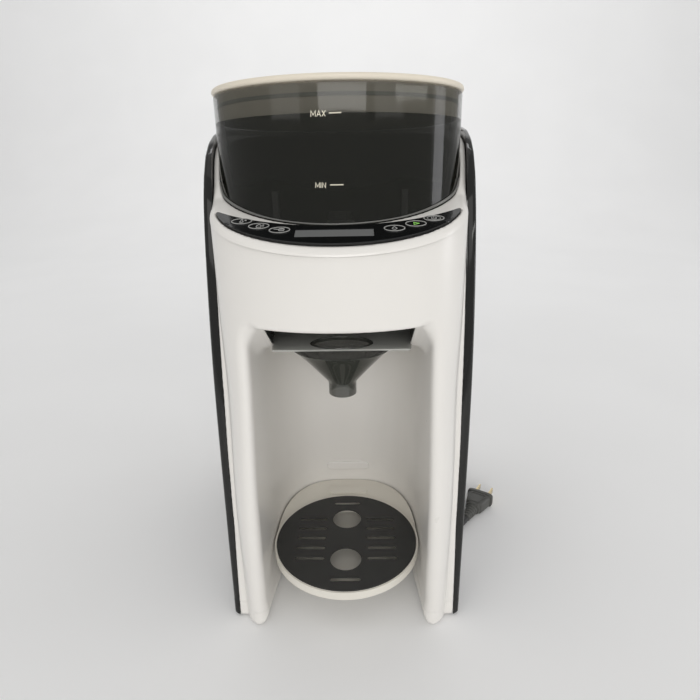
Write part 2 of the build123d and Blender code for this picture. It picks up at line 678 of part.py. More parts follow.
with BuildPart() as valve_seat:
    with BuildSketch(Plane(origin=(-34.0, YT + 205.0, 0), x_dir=(1, 0, 0), z_dir=(0, -1, 0))):
        with BuildLine():
            Polyline((5.0, 154.8), (10.0, 154.8), (10.0, 164.0), (13.6, 164.0), (13.6, 167.2), (5.0, 167.2), close=True)
        make_face()
    revolve(axis=Axis((-34.0, YT + 205.0, 0), (0, 0, 1)))
    with BuildSketch(Plane.XY.offset(156.0)):
        with Locations((-34.0, YT + 205.0)):
            Rectangle(11.0, 1.4)
            Circle(1.6)
    extrude(amount=8.0)
    with Locations((-34.0, YT + 205.0, 156.0)):
        Cylinder(1.6, 11.0, align=(Align.CENTER, Align.CENTER, Align.MIN))
valve_seat.part.label = "valve_seat"
export_step(valve_seat.part, "parts/valve_seat.step")

with BuildPart() as tank_valve:
    with BuildSketch(Plane(origin=(-34.0, YT + 205.0, 0), x_dir=(1, 0, 0), z_dir=(0, -1, 0))):
        with BuildLine():
            Polyline((0.0, 167.4), (5.6, 167.4), (5.6, 172.2), (9.0, 172.2), (9.0, 173.8), (3.0, 173.8), (3.0, 180.0),
                     (0.0, 180.0), close=True)
        make_face()
    revolve(axis=Axis((-34.0, YT + 205.0, 0), (0, 0, 1)))
tank_valve.part.label = "tank_valve"
export_step(tank_valve.part, "parts/tank_valve.step")

# ---------------------------------------------------------------- powder container
with BuildPart() as powder_container:
    with BuildSketch(Plane.XY.offset(CON_Z0)):
        with Locations((0, CON_Y)):
            Ellipse(CON_A, CON_B)
    extrude(amount=120.0)
    with BuildSketch(Plane.XY.offset(CON_Z0 + 3.0)):
        with Locations((0, CON_Y)):
            Ellipse(CON_A - CON_WALL, CON_B - CON_WALL)
    extrude(amount=130.0, mode=Mode.SUBTRACT)
    split(bisect_by=rim_plane(0.0), keep=Keep.BOTTOM)
    with BuildSketch(Plane.XY.offset(CON_Z0 - 1.0)):
        with Locations((0, CON_Y)):
            Circle(9.0)
    extrude(amount=6.0, mode=Mode.SUBTRACT)
    # outlet tube over the chute
    with BuildSketch(Plane.XY.offset(CON_Z0 - 5.0)):
        with Locations((0, YT)):
            Circle(10.6)
    extrude(amount=6.0)
    with BuildSketch(Plane.XY.offset(CON_Z0 - 6.0)):
        with Locations((0, YT)):
            Circle(8.8)
    extrude(amount=12.0, mode=Mode.SUBTRACT)
    # two ribs that carry the hopper floor
    with BuildSketch(Plane.XY.offset(CON_Z0 + 3.0)):
        with Locations((66.0, CON_Y), (-66.0, CON_Y)):
            Rectangle(3.0, 60.0)
    extrude(amount=12.6)
powder_container.part.label = "powder_container"
export_step(powder_container.part, "parts/powder_container.step")

with BuildPart() as hopper_floor:
    with BuildSketch(Plane.XY.offset(CON_Z0 + 15.7)):
        with Locations((0, CON_Y)):
            Ellipse(CON_A - CON_WALL - 0.3, CON_B - CON_WALL - 0.3)
            Circle(7.0, mode=Mode.SUBTRACT)
        with Locations((0, CON_Y + 38.0)):
            SlotOverall(36.0, 14.0, mode=Mode.SUBTRACT)
    extrude(amount=2.2)
hopper_floor.part.label = "hopper_floor"
export_step(hopper_floor.part, "parts/hopper_floor.step")

with BuildPart() as dosing_wheel:
    with BuildSketch(Plane.XY.offset(CON_Z0 + 4.0)):
        with Locations((0, CON_Y)):
            Circle(49.0)
            with PolarLocations(40.0, 8):
                Circle(7.4, mode=Mode.SUBTRACT)
    extrude(amount=10.8)
    with Locations((0, CON_Y, CON_Z0 + 14.0)):
        Cylinder(6.6, 12.0, align=(Align.CENTER, Align.CENTER, Align.MIN))
    with Locations((0, CON_Y, CON_Z0 + 26.0)):
        Cylinder(3.0, 5.0, align=(Align.CENTER, Align.CENTER, Align.MIN))
    # socket for the drive dog
    with BuildSketch(Plane.XY.offset(CON_Z0 + 3.0)):
        with Locations((0, CON_Y)):
            Rectangle(12.8, 4.4)
            Rectangle(4.4, 12.8)
    extrude(amount=6.2, mode=Mode.SUBTRACT)
dosing_wheel.part.label = "dosing_wheel"
export_step(dosing_wheel.part, "parts/dosing_wheel.step")

with BuildPart() as stirrer:
    with BuildSketch(Plane.XY.offset(CON_Z0 + 20.0)):
        with Locations((0, CON_Y)):
            Circle(10.0)
            Rectangle(96.0, 7.0)
            Circle(6.64, mode=Mode.SUBTRACT)
    extrude(amount=3.0)
    with BuildSketch(Plane.XY.offset(CON_Z0 + 20.0)):
        with Locations((46.0, CON_Y), (-46.0, CON_Y)):
            Rectangle(4.0, 7.0)
    extrude(amount=26.0)
    with BuildSketch(Plane.XY.offset(CON_Z0 + 20.0)):
        with Locations((0, CON_Y)):
            Circle(10.0)
            Circle(6.64, mode=Mode.SUBTRACT)
    extrude(amount=5.0)
stirrer.part.label = "stirrer"
export_step(stirrer.part, "parts/stirrer.step")

with BuildPart() as hub_nut:
    with BuildSketch(Plane.XY.offset(CON_Z0 + 26.2)):
        with Locations((0, CON_Y)):
            RegularPolygon(8.6, 6)
            Circle(3.05, mode=Mode.SUBTRACT)
    extrude(amount=5.0)
hub_nut.part.label = "hub_nut"
export_step(hub_nut.part, "parts/hub_nut.step")

with BuildPart() as container_lid:
    with BuildSketch(rim_plane(0.4)):
        with Locations((0, CON_B)):
            Ellipse(CON_A + 1.6, CON_B + 1.6)
    extrude(amount=5.4)
    fillet(container_lid.faces().sort_by(Axis.Z)[-1].edges(), 3.2)
    with BuildSketch(rim_plane(-15.0)):
        with Locations((0, CON_B)):
            Ellipse(CON_A - CON_WALL - 0.8, CON_B - CON_WALL - 0.8)
            Ellipse(CON_A - CON_WALL - 2.8, CON_B - CON_WALL - 2.8, mode=Mode.SUBTRACT)
    extrude(amount=16.0)
    # groove for the seal
    with BuildSketch(rim_plane(-6.6)):
        with Locations((0, CON_B)):
            Ellipse(CON_A, CON_B)
            Ellipse(CON_A - CON_WALL - 1.6, CON_B - CON_WALL - 1.6, mode=Mode.SUBTRACT)
    extrude(amount=2.4, mode=Mode.SUBTRACT)
container_lid.part.label = "container_lid"
export_step(container_lid.part, "parts/container_lid.step")

with BuildPart() as lid_seal:
    with BuildSketch(rim_plane(-6.5)):
        with Locations((0, CON_B)):
            Ellipse(CON_A - CON_WALL - 0.35, CON_B - CON_WALL - 0.35)
            Ellipse(CON_A - CON_WALL - 1.55, CON_B - CON_WALL - 1.55, mode=Mode.SUBTRACT)
    extrude(amount=2.2)
lid_seal.part.label = "lid_seal"
export_step(lid_seal.part, "parts/lid_seal.step")

# ---------------------------------------------------------------- funnel drawer
with BuildPart() as funnel_body:
    with BuildSketch(Plane(origin=(0, YT, 0), x_dir=(1, 0, 0), z_dir=(0, -1, 0))):
        with BuildLine():
            Polyline((BOWL_R, 203.1), (BOWL_R, 200.2), (NOZZLE_R, 177.2), (NOZZLE_R, NOZZLE_Z), (NOZZLE_R - 1.8, NOZZLE_Z),
                     (NOZZLE_R - 1.8, 178.0), (BOWL_R - 2.6, 200.8), (BOWL_R - 2.6, 203.1), close=True)
        make_face()
    revolve(axis=Axis((0, YT, 0), (0, 0, 1)))
    with BuildSketch(Plane.XY.offset(200.9)):
        with BuildLine():
            Polyline((-47.2, YT - 12), (-51.3, YT + 14), (-51.3, YT + 52), (51.3, YT + 52), (51.3, YT + 14),
                     (47.2, YT - 12), close=True)
        make_face()
        with Locations((0, YT)):
            Circle(BOWL_R - 2.6, mode=Mode.SUBTRACT)
    extrude(amount=2.2)
funnel_body.part.label = "funnel_body"
export_step(funnel_body.part, "parts/funnel_body.step")

with BuildPart() as funnel_cover:
    with BuildSketch(Plane.XY.offset(203.3)):
        with BuildLine():
            Polyline((-47.0, YT - 12.5), (-51.1, YT + 14), (-51.1, YT + 51.5), (51.1, YT + 51.5), (51.1, YT + 14),
                     (47.0, YT - 12.5), close=True)
        make_face()
        with Locations((0, YT + 1.5)):
            Ellipse(20.5, 12.6, mode=Mode.SUBTRACT)
    extrude(amount=2.2)
    with BuildSketch(Plane.XY.offset(205.4)):
        with Locations((0, YT + 34.0)):
            Rectangle(102.0, 34.0)
            Rectangle(96.0, 28.0, mode=Mode.SUBTRACT)
    extrude(amount=2.0)
    with BuildSketch(Plane.XY.offset(205.4)):
        with Locations((0, YT + 1.5)):
            Ellipse(22.4, 14.2)
            Ellipse(20.5, 12.6, mode=Mode.SUBTRACT)
    extrude(amount=0.8)
funnel_cover.part.label = "funnel_cover"
export_step(funnel_cover.part, "parts/funnel_cover.step")

# ---------------------------------------------------------------- drip tray and mat
with BuildPart() as drip_tray:
    # rear deck that follows the bay wall
    with BuildSketch(Plane.XY.offset(27.0)):
        with BuildLine():
            Spline(*back_pts(TRAY_R, 82.2, YT + 5.0, 2.7))
            Polyline((-TRAY_R, YT + 5.0), (-TRAY_R, YT + 1.0), (TRAY_R, YT + 1.0), (TRAY_R, YT + 5.0))
        make_face()
    extrude(amount=7.6)
    with BuildSketch(Plane.XY.offset(20.0)):
        with Locations((0, YT)):
            Circle(TRAY_R - 1.0)
    extrude(amount=40.0, mode=Mode.SUBTRACT)
    # round dish with the ledge for the mat
    with BuildSketch(Plane(origin=(0, YT, 0), x_dir=(1, 0, 0), z_dir=(0, -1, 0))):
        with BuildLine():
            Polyline((0, 24.0), (50.0, 24.0), (TRAY_R, 31.0), (TRAY_R, 37.4), (MAT_R + 0.4, 37.4), (MAT_R + 0.4, 35.2),
                     (MAT_R - 2.2, 35.2), (MAT_R - 3.0, 31.0), (47.6, 26.4), (0, 26.4), close=True)
        make_face()
    revolve(axis=Axis((0, YT, 0), (0, 0, 1)))
    # raised pill on the deck, hook tongue into the back wall
    with BuildSketch(Plane.XY.offset(34.0)):
        with Locations((0, YT + 68.5)):
            SlotOverall(36.0, 9.6)
    extrude(amount=2.0)
    with BuildSketch(Plane(origin=(0, YT + 86.0, 32.0), x_dir=(1, 0, 0), z_dir=(0, 1, 0))):
        Rectangle(28.0, 3.6)
    extrude(amount=6.0)
drip_tray.part.label = "drip_tray"
export_step(drip_tray.part, "parts/drip_tray.step")

with BuildPart() as tray_mat:
    with BuildSketch(Plane.XY.offset(MAT_TOP - 2.5)):
        with Locations((0, YT)):
            Circle(MAT_R)
        with Locations((0, YT + 23.8), (0, YT - 24.2)):
            Circle(12.0, mode=Mode.SUBTRACT)
        with Locations(*[(sx * 28.0, YT + 11.6 * r) for sx in (-1, 1) for r in (-2, -1, 0, 1, 2)]):
            SlotOverall(23.0, 3.4, mode=Mode.SUBTRACT)
        with Locations((0, YT + 45.2), (0, YT - 45.2)):
            SlotOverall(22.5, 3.4, mode=Mode.SUBTRACT)
    extrude(amount=2.5)
    chamfer(tray_mat.faces().sort_by(Axis.Z)[-1].outer_wire().edges(), 0.4)
tray_mat.part.label = "tray_mat"
export_step(tray_mat.part, "parts/tray_mat.step")

# ---------------------------------------------------------------- mains lead
with BuildPart() as cord_gland:
    with BuildSketch(Plane(origin=(20.0, Y_BACK - 3.4, 20.0), x_dir=(1, 0, 0), z_dir=(0, 1, 0))):
        Circle(5.8)
    extrude(amount=3.4)
    with BuildSketch(Plane(origin=(20.0, Y_BACK, 20.0), x_dir=(1, 0, 0), z_dir=(0, 1, 0))):
        Circle(8.0)
    extrude(amount=3.0)
    with BuildSketch(Plane(origin=(20.0, Y_BACK + 3.0, 20.0), x_dir=(1, 0, 0), z_dir=(0, 1, 0))):
        Circle(5.6)
    with BuildSketch(Plane(origin=(20.0, Y_BACK + 27.0, 20.0), x_dir=(1, 0, 0), z_dir=(0, 1, 0))):
        Circle(3.7)
    loft()
cord_gland.part.label = "cord_gland"
export_step(cord_gland.part, "parts/cord_gland.step")

# coil: nearly three turns of the put-away length, lying behind the machine, with its two tails
COIL_X, COIL_Y, COIL_R = -18.0, YT + 348.5, 33.0
with BuildPart() as cord_coil:
    with BuildSketch(Plane(origin=(COIL_X, COIL_Y, 0), x_dir=(1, 0, 0), z_dir=(0, -1, 0))):
        with Locations((COIL_R, 6.4)):
            RectangleRounded(13.0, 12.6, 2.6)
    revolve(axis=Axis((COIL_X, COIL_Y, 0), (0, 0, 1)))
    with Locations(Plane(origin=(18.5, COIL_Y - 21.5, 9.6), z_dir=(0, 1, 0))):
        Cylinder(CORD_D / 2, 21.5, align=(Align.CENTER, Align.CENTER, Align.MIN))
    with Locations(Plane(origin=(COIL_X, COIL_Y - 36.5, 3.1), z_dir=(1, 0, 0))):
        Cylinder(CORD_D / 2, 21.5, align=(Align.CENTER, Align.CENTER, Align.MIN))
cord_coil.part.label = "cord_coil"
export_step(cord_coil.part, "parts/cord_coil.step")


def route_radii(points):
    """0.45 of the shorter run over the tangent of half the turn, for each inner point."""
    out = []
    for p, q, r in zip(points, points[1:], points[2:]):
        a = Vector(*q) - Vector(*p)
        b = Vector(*r) - Vector(*q)
        turn = a.get_angle(b)
        out.append(0.45 * min(a.length, b.length) / math.tan(math.radians(turn) / 2))
    return out


def turns(points):
    return [(Vector(*q) - Vector(*p)).get_angle(Vector(*r) - Vector(*q)) for p, q, r in zip(points, points[1:], points[2:])]


# from the gland down to the coil's tail
LEAD_A = [
    (20.0, YT + 277.0, 20.0), (20.0, YT + 286.49, 20.0), (19.6, YT + 297.15, 17.36), (18.9, YT + 306.85, 12.24),
    (18.5, YT + 317.51, 9.6), (18.5, YT + 327.0, 9.6),
]
# from the coil round the right rear corner, along the cord channel, and back out of it to the plug
LEAD_B = [
    (3.5, YT + 312.0, 3.1), (13.0, YT + 312.0, 3.1), (29.5, YT + 312.15, 3.1), (47.33, YT + 312.0, 3.1),
    (60.26, YT + 306.41, 3.1), (69.9, YT + 296.14, 3.1), (74.67, YT + 282.89, 3.1), (72.41, YT + 255.01, 3.1),
    (68.94, YT + 206.19, 3.1), (65.77, YT + 152.68, 3.1), (63.49, YT + 113.12, 3.1), (62.18, YT + 87.52, 3.1),
    (61.13, YT + 67.73, 3.1), (67.27, YT + 55.54, 4.12), (78.73, YT + 48.11, 5.15), (92.37, YT + 47.48, 6.18),
    (104.46, YT + 53.82, 7.2), (110.2, YT + 63.0, 7.2),
]
for name, pts in (("lead_a", LEAD_A), ("lead_b", LEAD_B)):
    rad = route_radii(pts)
    with BuildPart() as lead:
        with BuildLine() as _path:
            FilletPolyline(*pts, radius=rad)
        path = _path.wires()[0]
        with BuildSketch(Plane(origin=pts[0], z_dir=Vector(*pts[1]) - Vector(*pts[0]))):
            Circle(CORD_D / 2)
        sweep(path=path, transition=Transition.ROUND)
    print(name, "radii", [round(r, 1) for r in rad], "turns", [round(t, 1) for t in turns(pts)],
          "length", round(path.length, 1), "volume ratio",
          round(lead.part.volume / (math.pi * (CORD_D / 2) ** 2 * path.length), 4))
    lead.part.label = name
    export_step(lead.part, "parts/%s.step" % name)

# plug: tapered ribbed relief, body, face plate and two blades
PLUG_DIR = Vector(0.53, 0.848, 0).normalized()
PLUG_0 = Vector(*LEAD_B[-1])


def plug_plane(s):
    return Plane(origin=PLUG_0 + PLUG_DIR * s, x_dir=(0.848, -0.53, 0), z_dir=PLUG_DIR)


with BuildPart() as mains_plug:
    with BuildSketch(plug_plane(0.0)):
        Circle(3.4)
    with BuildSketch(plug_plane(17.0)):
        Circle(5.6)
    loft()
    with BuildSketch(plug_plane(17.0)):
        RectangleRounded(14.4, 12.4, 3.6)
    with BuildSketch(plug_plane(36.0)):
        RectangleRounded(22.6, 13.2, 3.6)
    loft()
    with BuildSketch(plug_plane(36.0)):
        RectangleRounded(25.0, 14.0, 4.0)
    extrude(amount=4.0)
    with BuildSketch(plug_plane(40.0)):
        with Locations((-6.35, 0), (6.35, 0)):
            Rectangle(1.5, 6.3)
    extrude(amount=17.0)
mains_plug.part.label = "mains_plug"
export_step(mains_plug.part, "parts/mains_plug.step")
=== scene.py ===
import bmesh
import bpy
import json
import math
import numpy as np
from mathutils import Matrix, Vector

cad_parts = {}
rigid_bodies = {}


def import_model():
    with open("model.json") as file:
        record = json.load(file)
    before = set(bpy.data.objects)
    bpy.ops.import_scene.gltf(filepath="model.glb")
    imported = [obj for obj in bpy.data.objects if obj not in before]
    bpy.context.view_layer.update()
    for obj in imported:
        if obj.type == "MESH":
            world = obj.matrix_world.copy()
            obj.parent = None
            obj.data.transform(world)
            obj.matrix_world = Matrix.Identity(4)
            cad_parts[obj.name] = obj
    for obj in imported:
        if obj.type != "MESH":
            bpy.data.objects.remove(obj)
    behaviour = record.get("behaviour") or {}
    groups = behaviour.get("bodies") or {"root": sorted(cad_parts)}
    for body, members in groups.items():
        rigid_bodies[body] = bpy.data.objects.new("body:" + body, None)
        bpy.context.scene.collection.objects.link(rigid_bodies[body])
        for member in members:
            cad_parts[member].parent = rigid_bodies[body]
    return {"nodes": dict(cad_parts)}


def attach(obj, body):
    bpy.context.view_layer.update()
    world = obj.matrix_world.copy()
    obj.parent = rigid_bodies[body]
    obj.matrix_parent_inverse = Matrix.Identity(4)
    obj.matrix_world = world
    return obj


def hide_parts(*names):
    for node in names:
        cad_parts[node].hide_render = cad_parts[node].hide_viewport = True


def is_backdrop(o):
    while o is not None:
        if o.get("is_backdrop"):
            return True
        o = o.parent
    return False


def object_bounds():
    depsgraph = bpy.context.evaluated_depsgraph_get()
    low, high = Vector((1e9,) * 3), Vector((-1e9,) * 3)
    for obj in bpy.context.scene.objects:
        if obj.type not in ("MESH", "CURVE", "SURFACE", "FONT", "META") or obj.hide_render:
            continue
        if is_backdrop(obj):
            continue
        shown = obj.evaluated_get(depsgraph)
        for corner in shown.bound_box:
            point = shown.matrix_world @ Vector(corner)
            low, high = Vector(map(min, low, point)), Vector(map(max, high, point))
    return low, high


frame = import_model()
cad_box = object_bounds()
nodes = frame["nodes"]

YT = -0.096          # bottle axis
CONY = YT + 0.040    # container axis
D = bpy.data


# ------------------------------------------------------------------ camera
def make_camera():
    psi, th, rho = math.radians(-1.201), math.radians(20.351), math.radians(1.095)
    fw = Vector((math.sin(psi) * math.cos(th), math.cos(psi) * math.cos(th), -math.sin(th)))
    r = Vector((math.cos(psi), -math.sin(psi), 0.0))
    d = fw.cross(r)
    eu = r * math.cos(rho) + d * math.sin(rho)
    ev = -r * math.sin(rho) + d * math.cos(rho)
    cam = D.cameras.new("camera")
    cam.sensor_width = 36.0
    cam.lens = 36.0 * 532.77 / 700.0
    cam.clip_start = 0.01
    ob = D.objects.new("camera", cam)
    bpy.context.scene.collection.objects.link(ob)
    m = Matrix((
        (eu.x, -ev.x, -fw.x, 0.013194),
        (eu.y, -ev.y, -fw.y, -0.352959 + YT),
        (eu.z, -ev.z, -fw.z, 0.3314),
        (0, 0, 0, 1)))
    ob.matrix_world = m
    bpy.context.scene.camera = ob
    return ob


make_camera()


# ------------------------------------------------------------------ materials
class Mat:
    """Small node builder: one Principled shader with procedural detail."""

    def __init__(self, name):
        self.m = D.materials.new(name)
        self.m.use_nodes = True
        self.nt = self.m.node_tree
        self.nt.nodes.clear()
        self.out = self.nt.nodes.new("ShaderNodeOutputMaterial")
        self.b = self.nt.nodes.new("ShaderNodeBsdfPrincipled")
        self.nt.links.new(self.b.outputs[0], self.out.inputs[0])
        self.tc = self.nt.nodes.new("ShaderNodeTexCoord")

    def set(self, **kw):
        for k, v in kw.items():
            self.b.inputs[k.replace("_", " ")].default_value = v
        return self

    def node(self, kind, **kw):
        n = self.nt.nodes.new(kind)
        for k, v in kw.items():
            if k in n.inputs:
                n.inputs[k].default_value = v
            else:
                setattr(n, k, v)
        return n

    def link(self, a, b):
        self.nt.links.new(a, b)

    def noise(self, scale, detail=3.0, rough=0.5, stretch=None):
        n = self.node("ShaderNodeTexNoise", Scale=scale, Detail=detail, Roughness=rough)
        if stretch is None:
            self.link(self.tc.outputs["Object"], n.inputs["Vector"])
        else:
            mp = self.node("ShaderNodeMapping")
            mp.inputs["Scale"].default_value = stretch
            self.link(self.tc.outputs["Object"], mp.inputs["Vector"])
            self.link(mp.outputs[0], n.inputs["Vector"])
        return n

    def ramp(self, src, stops, interp="LINEAR"):
        r = self.node("ShaderNodeValToRGB")
        r.color_ramp.interpolation = interp
        e = r.color_ramp.elements
        while len(e) < len(stops):
            e.new(0.5)
        for el, (p, c) in zip(e, stops):
            el.position = p
            el.color = (c[0], c[1], c[2], 1.0)
        self.link(src, r.inputs["Fac"])
        return r

    def rough_range(self, src, lo, hi):
        mr = self.node("ShaderNodeMapRange")
        mr.clamp = False
        mr.inputs["From Min"].default_value = 0.2
        mr.inputs["From Max"].default_value = 0.8
        mr.inputs["To Min"].default_value = lo
        mr.inputs["To Max"].default_value = hi
        self.link(src, mr.inputs["Value"])
        self.link(mr.outputs[0], self.b.inputs["Roughness"])
        return mr

    def bump(self, src, strength, dist=0.001, extra=None):
        bp = self.node("ShaderNodeBump")
        bp.inputs["Strength"].default_value = strength
        bp.inputs["Distance"].default_value = dist
        self.link(src, bp.inputs["Height"])
        if extra is not None:
            self.link(extra.outputs[0], bp.inputs["Normal"])
        self.link(bp.outputs[0], self.b.inputs["Normal"])
        return bp


def plastic(name, rgb, rough=(0.28, 0.36), vary=0.03, bump=0.05, grain=900.0, coat=0.0, spec=0.5, **kw):
    """Moulded plastic: slight mottling of colour, roughness that wanders, and a fine moulded grain."""
    m = Mat(name)
    big = m.noise(14.0, 2.0)
    lo = tuple(max(0.0, c * (1 - vary)) for c in rgb)
    hi = tuple(min(1.0, c * (1 + vary)) for c in rgb)
    r = m.ramp(big.outputs["Fac"], [(0.05, lo), (0.95, hi)])
    m.link(r.outputs["Color"], m.b.inputs["Base Color"])
    mid = m.noise(60.0, 3.0)
    m.rough_range(mid.outputs["Fac"], *rough)
    fine = m.noise(grain, 2.0)
    m.bump(fine.outputs["Fac"], bump, 0.0002)
    m.b.inputs["Coat Weight"].default_value = coat
    m.b.inputs["Coat Roughness"].default_value = 0.05
    m.b.inputs["Specular IOR Level"].default_value = spec
    for k, v in kw.items():
        m.b.inputs[k.replace("_", " ")].default_value = v
    return m


WHITE = plastic("shell_white", (0.82, 0.80, 0.765), rough=(0.27, 0.34), vary=0.010, bump=0.02, grain=260.0, coat=0.2)
WHITE_IN = plastic("shell_white_inner", (0.82, 0.80, 0.77), rough=(0.38, 0.46), vary=0.010, bump=0.03, grain=260.0)
# near-black for the drawer slot's walls and the powder spout: painted shade, so they read as the shadowed space under
# the head
SLOT_SHADE_DARK = plastic("slot_shade_dark", (0.012, 0.013, 0.011), rough=(0.4, 0.5), vary=0.1, bump=0.1, grain=600.0)
CREAM = plastic("lid_cream", (0.78, 0.715, 0.60), rough=(0.34, 0.42), vary=0.015, bump=0.06, grain=1200.0)
BLACK = plastic("panel_black", (0.006, 0.006, 0.005), rough=(0.05, 0.09), vary=0.1, bump=0.015, grain=300.0, coat=0.0, spec=0.5)
DECKBLACK = plastic("deck_black", (0.005, 0.0055, 0.006), rough=(0.06, 0.1), vary=0.1, bump=0.012, grain=300.0, coat=0.0)
MATBLACK = plastic("mat_black", (0.028, 0.028, 0.027), rough=(0.55, 0.68), vary=0.12, bump=0.35, grain=1500.0)
GREY = plastic("inner_grey", (0.22, 0.22, 0.22), rough=(0.5, 0.6), vary=0.05, bump=0.1)
WHEEL = plastic("wheel_white", (0.75, 0.74, 0.72), rough=(0.4, 0.5), vary=0.02, bump=0.08)
RUBBER = plastic("rubber_black", (0.03, 0.03, 0.03), rough=(0.65, 0.8), vary=0.15, bump=0.3, grain=1300.0)
CORD = plastic("cord_black", (0.02, 0.02, 0.02), rough=(0.38, 0.5), vary=0.15, bump=0.12, grain=1400.0)
PLUG = plastic("plug_black", (0.07, 0.07, 0.064), rough=(0.4, 0.5), vary=0.12, bump=0.2, grain=1500.0)
BOARD = plastic("board_green", (0.02, 0.13, 0.05), rough=(0.35, 0.45), vary=0.2, bump=0.1)
SILICONE = plastic("silicone_milky", (0.66, 0.66, 0.62), rough=(0.35, 0.45), vary=0.03, bump=0.05)
SEAL = plastic("seal_grey", (0.42, 0.42, 0.38), rough=(0.35, 0.5), vary=0.05, bump=0.08)


def metal(name, rgb, rough=(0.22, 0.34)):
    m = plastic(name, rgb, rough=rough, vary=0.05, bump=0.1, grain=2200.0)
    m.b.inputs["Metallic"].default_value = 1.0
    return m


STEEL = metal("steel_plain", (0.60, 0.60, 0.60))
ALU = metal("alu_cast", (0.62, 0.63, 0.65), rough=(0.38, 0.5))
RING = plastic("button_ring", (0.50, 0.50, 0.485), rough=(0.25, 0.32), vary=0.03, bump=0.05)
BLADE = metal("blade_brass", (0.72, 0.60, 0.36), rough=(0.2, 0.3))


TRAY = plastic("tray_white", (0.78, 0.75, 0.68), rough=(0.3, 0.38), vary=0.012, bump=0.03, grain=260.0)


def smoke(name, rgb, alpha, rough=(0.03, 0.06), coat=0.0, spec=0.5):
    m = plastic(name, rgb, rough=rough, vary=0.15, bump=0.01, grain=80.0, coat=coat, spec=spec)
    m.b.inputs["Alpha"].default_value = alpha
    return m


SMOKE = smoke("smoke_clear", (0.009, 0.0095, 0.006), 0.64)
SMOKE_RIM = smoke("smoke_rim", (0.016, 0.018, 0.009), 0.43)
SMOKE_G = smoke("smoke_green", (0.050, 0.053, 0.044), 0.68, coat=0.5)
# pale grey copy of the smoke plastic for the funnel cover: painted light, lifted so the cover reads as lit by the low
# front lamp
SMOKE_COVER_PAINTED_LIGHT = smoke("smoke_cover_painted_light", (0.50, 0.505, 0.475), 0.90, rough=(0.2, 0.28))
TANKCLEAR = smoke("tank_blue_clear", (0.30, 0.36, 0.38), 0.30, rough=(0.05, 0.1))


def dress(node, mat):
    o = nodes[node]
    o.data.materials.clear()
    o.data.materials.append(mat.m)
    for p in o.data.polygons:
        p.material_index = 0


for n in ("front_housing", "control_bezel", "rear_housing", "rear_cap", "drip_tray"):
    dress(n, WHITE)
dress("drip_tray", TRAY)
for n in ("side_panel_left", "side_panel_right"):
    dress(n, BLACK)
dress("control_panel", DECKBLACK)
for i in range(1, 7):
    dress("button_%d" % i, DECKBLACK)
dress("container_lid", CREAM)
for n in ("powder_container",):
    dress(n, SMOKE)
for n in ("funnel_body", "funnel_cover"):
    dress(n, SMOKE_G)
for n in ("water_tank", "tank_lid", "hopper_floor"):
    dress(n, TANKCLEAR)
dress("tray_mat", MATBLACK)
for n in ("dosing_wheel", "stirrer", "powder_chute"):
    dress(n, WHEEL)
for n in ("hub_nut", "chassis", "container_seat", "gearbox", "shaft_bush", "water_pump", "valve_seat", "base_plate", "display_module"):
    dress(n, GREY)
for n in ("drive_motor", "drive_coupling", "tank_lid_pin", "assembly_screws"):
    dress(n, STEEL)
dress("heater_block", ALU)
for n in ("heater_tube", "tank_tube", "water_spout", "tank_valve"):
    dress(n, SILICONE)
for n in ("ui_board", "main_board"):
    dress(n, BOARD)
dress("lid_seal", SEAL)
dress("rubber_feet", RUBBER)
for n in ("cord_gland", "cord_coil", "lead_a", "lead_b"):
    dress(n, CORD)
dress("mains_plug", PLUG)
GASKET = plastic("gasket_grey", (0.20, 0.20, 0.19), rough=(0.25, 0.35), vary=0.06, bump=0.05, coat=0.3)
GASKET.b.inputs["Alpha"].default_value = 0.75
INK = plastic("mark_cream", (0.72, 0.68, 0.55), rough=(0.45, 0.55), vary=0.03, bump=0.05)
SYMBOL = plastic("symbol_grey", (0.55, 0.55, 0.54), rough=(0.35, 0.45), vary=0.03, bump=0.05)
GREENLIT = plastic("symbol_green", (0.30, 0.60, 0.16), rough=(0.35, 0.45), vary=0.03, bump=0.05)
GREENLIT.b.inputs["Emission Color"].default_value = (0.25, 0.8, 0.08, 1.0)
GREENLIT.b.inputs["Emission Strength"].default_value = 0.25
LCD = plastic("display_grey", (0.20, 0.205, 0.205), rough=(0.12, 0.18), vary=0.06, bump=0.01, coat=0.6)
dress("display_window", LCD)


# ------------------------------------------------------------------ mesh helpers
def mesh_object(name, verts, faces, mat, smooth=True, body=None, slot=None):
    me = D.meshes.new(name)
    me.from_pydata([tuple(float(c) for c in v) for v in verts], [], [tuple(int(i) for i in f) for f in faces])
    me.validate()
    me.update()
    ob = D.objects.new(name, me)
    bpy.context.scene.collection.objects.link(ob)
    if mat is not None:
        me.materials.append(mat.m)
    if smooth:
        for p in me.polygons:
            p.use_smooth = True
    if body:
        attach(ob, body)
    return ob


# ------------------------------------------------------------------ smooth moulded skins
# y here is counted from the bottle axis, in millimetres.
def poly4(zz, vv):
    return np.polyfit(zz, vv, 3)


Z4 = (0.0, 110.0, 225.0, 352.0)
PA = poly4(Z4, (80.8, 82.6, 84.2, 84.2))
PB = poly4(Z4, (72.0, 66.0, 58.4, 58.2))
PN = poly4(Z4, (3.4, 2.9, 2.1, 2.0))
SLOPE = 0.33
DN = np.array((0.0, -SLOPE, 1.0)) / math.sqrt(1 + SLOPE * SLOPE)


def deck_off(x, y, z, oy, oz):
    return (y - oy) * DN[1] + (z - oz) * DN[2]


def rmax(a, b, r):
    return np.minimum(-r, np.maximum(a, b)) + np.hypot(np.maximum(r + a, 0), np.maximum(r + b, 0))


def rmin(a, b, r):
    return np.maximum(r, np.minimum(a, b)) - np.hypot(np.maximum(r - a, 0), np.maximum(r - b, 0))


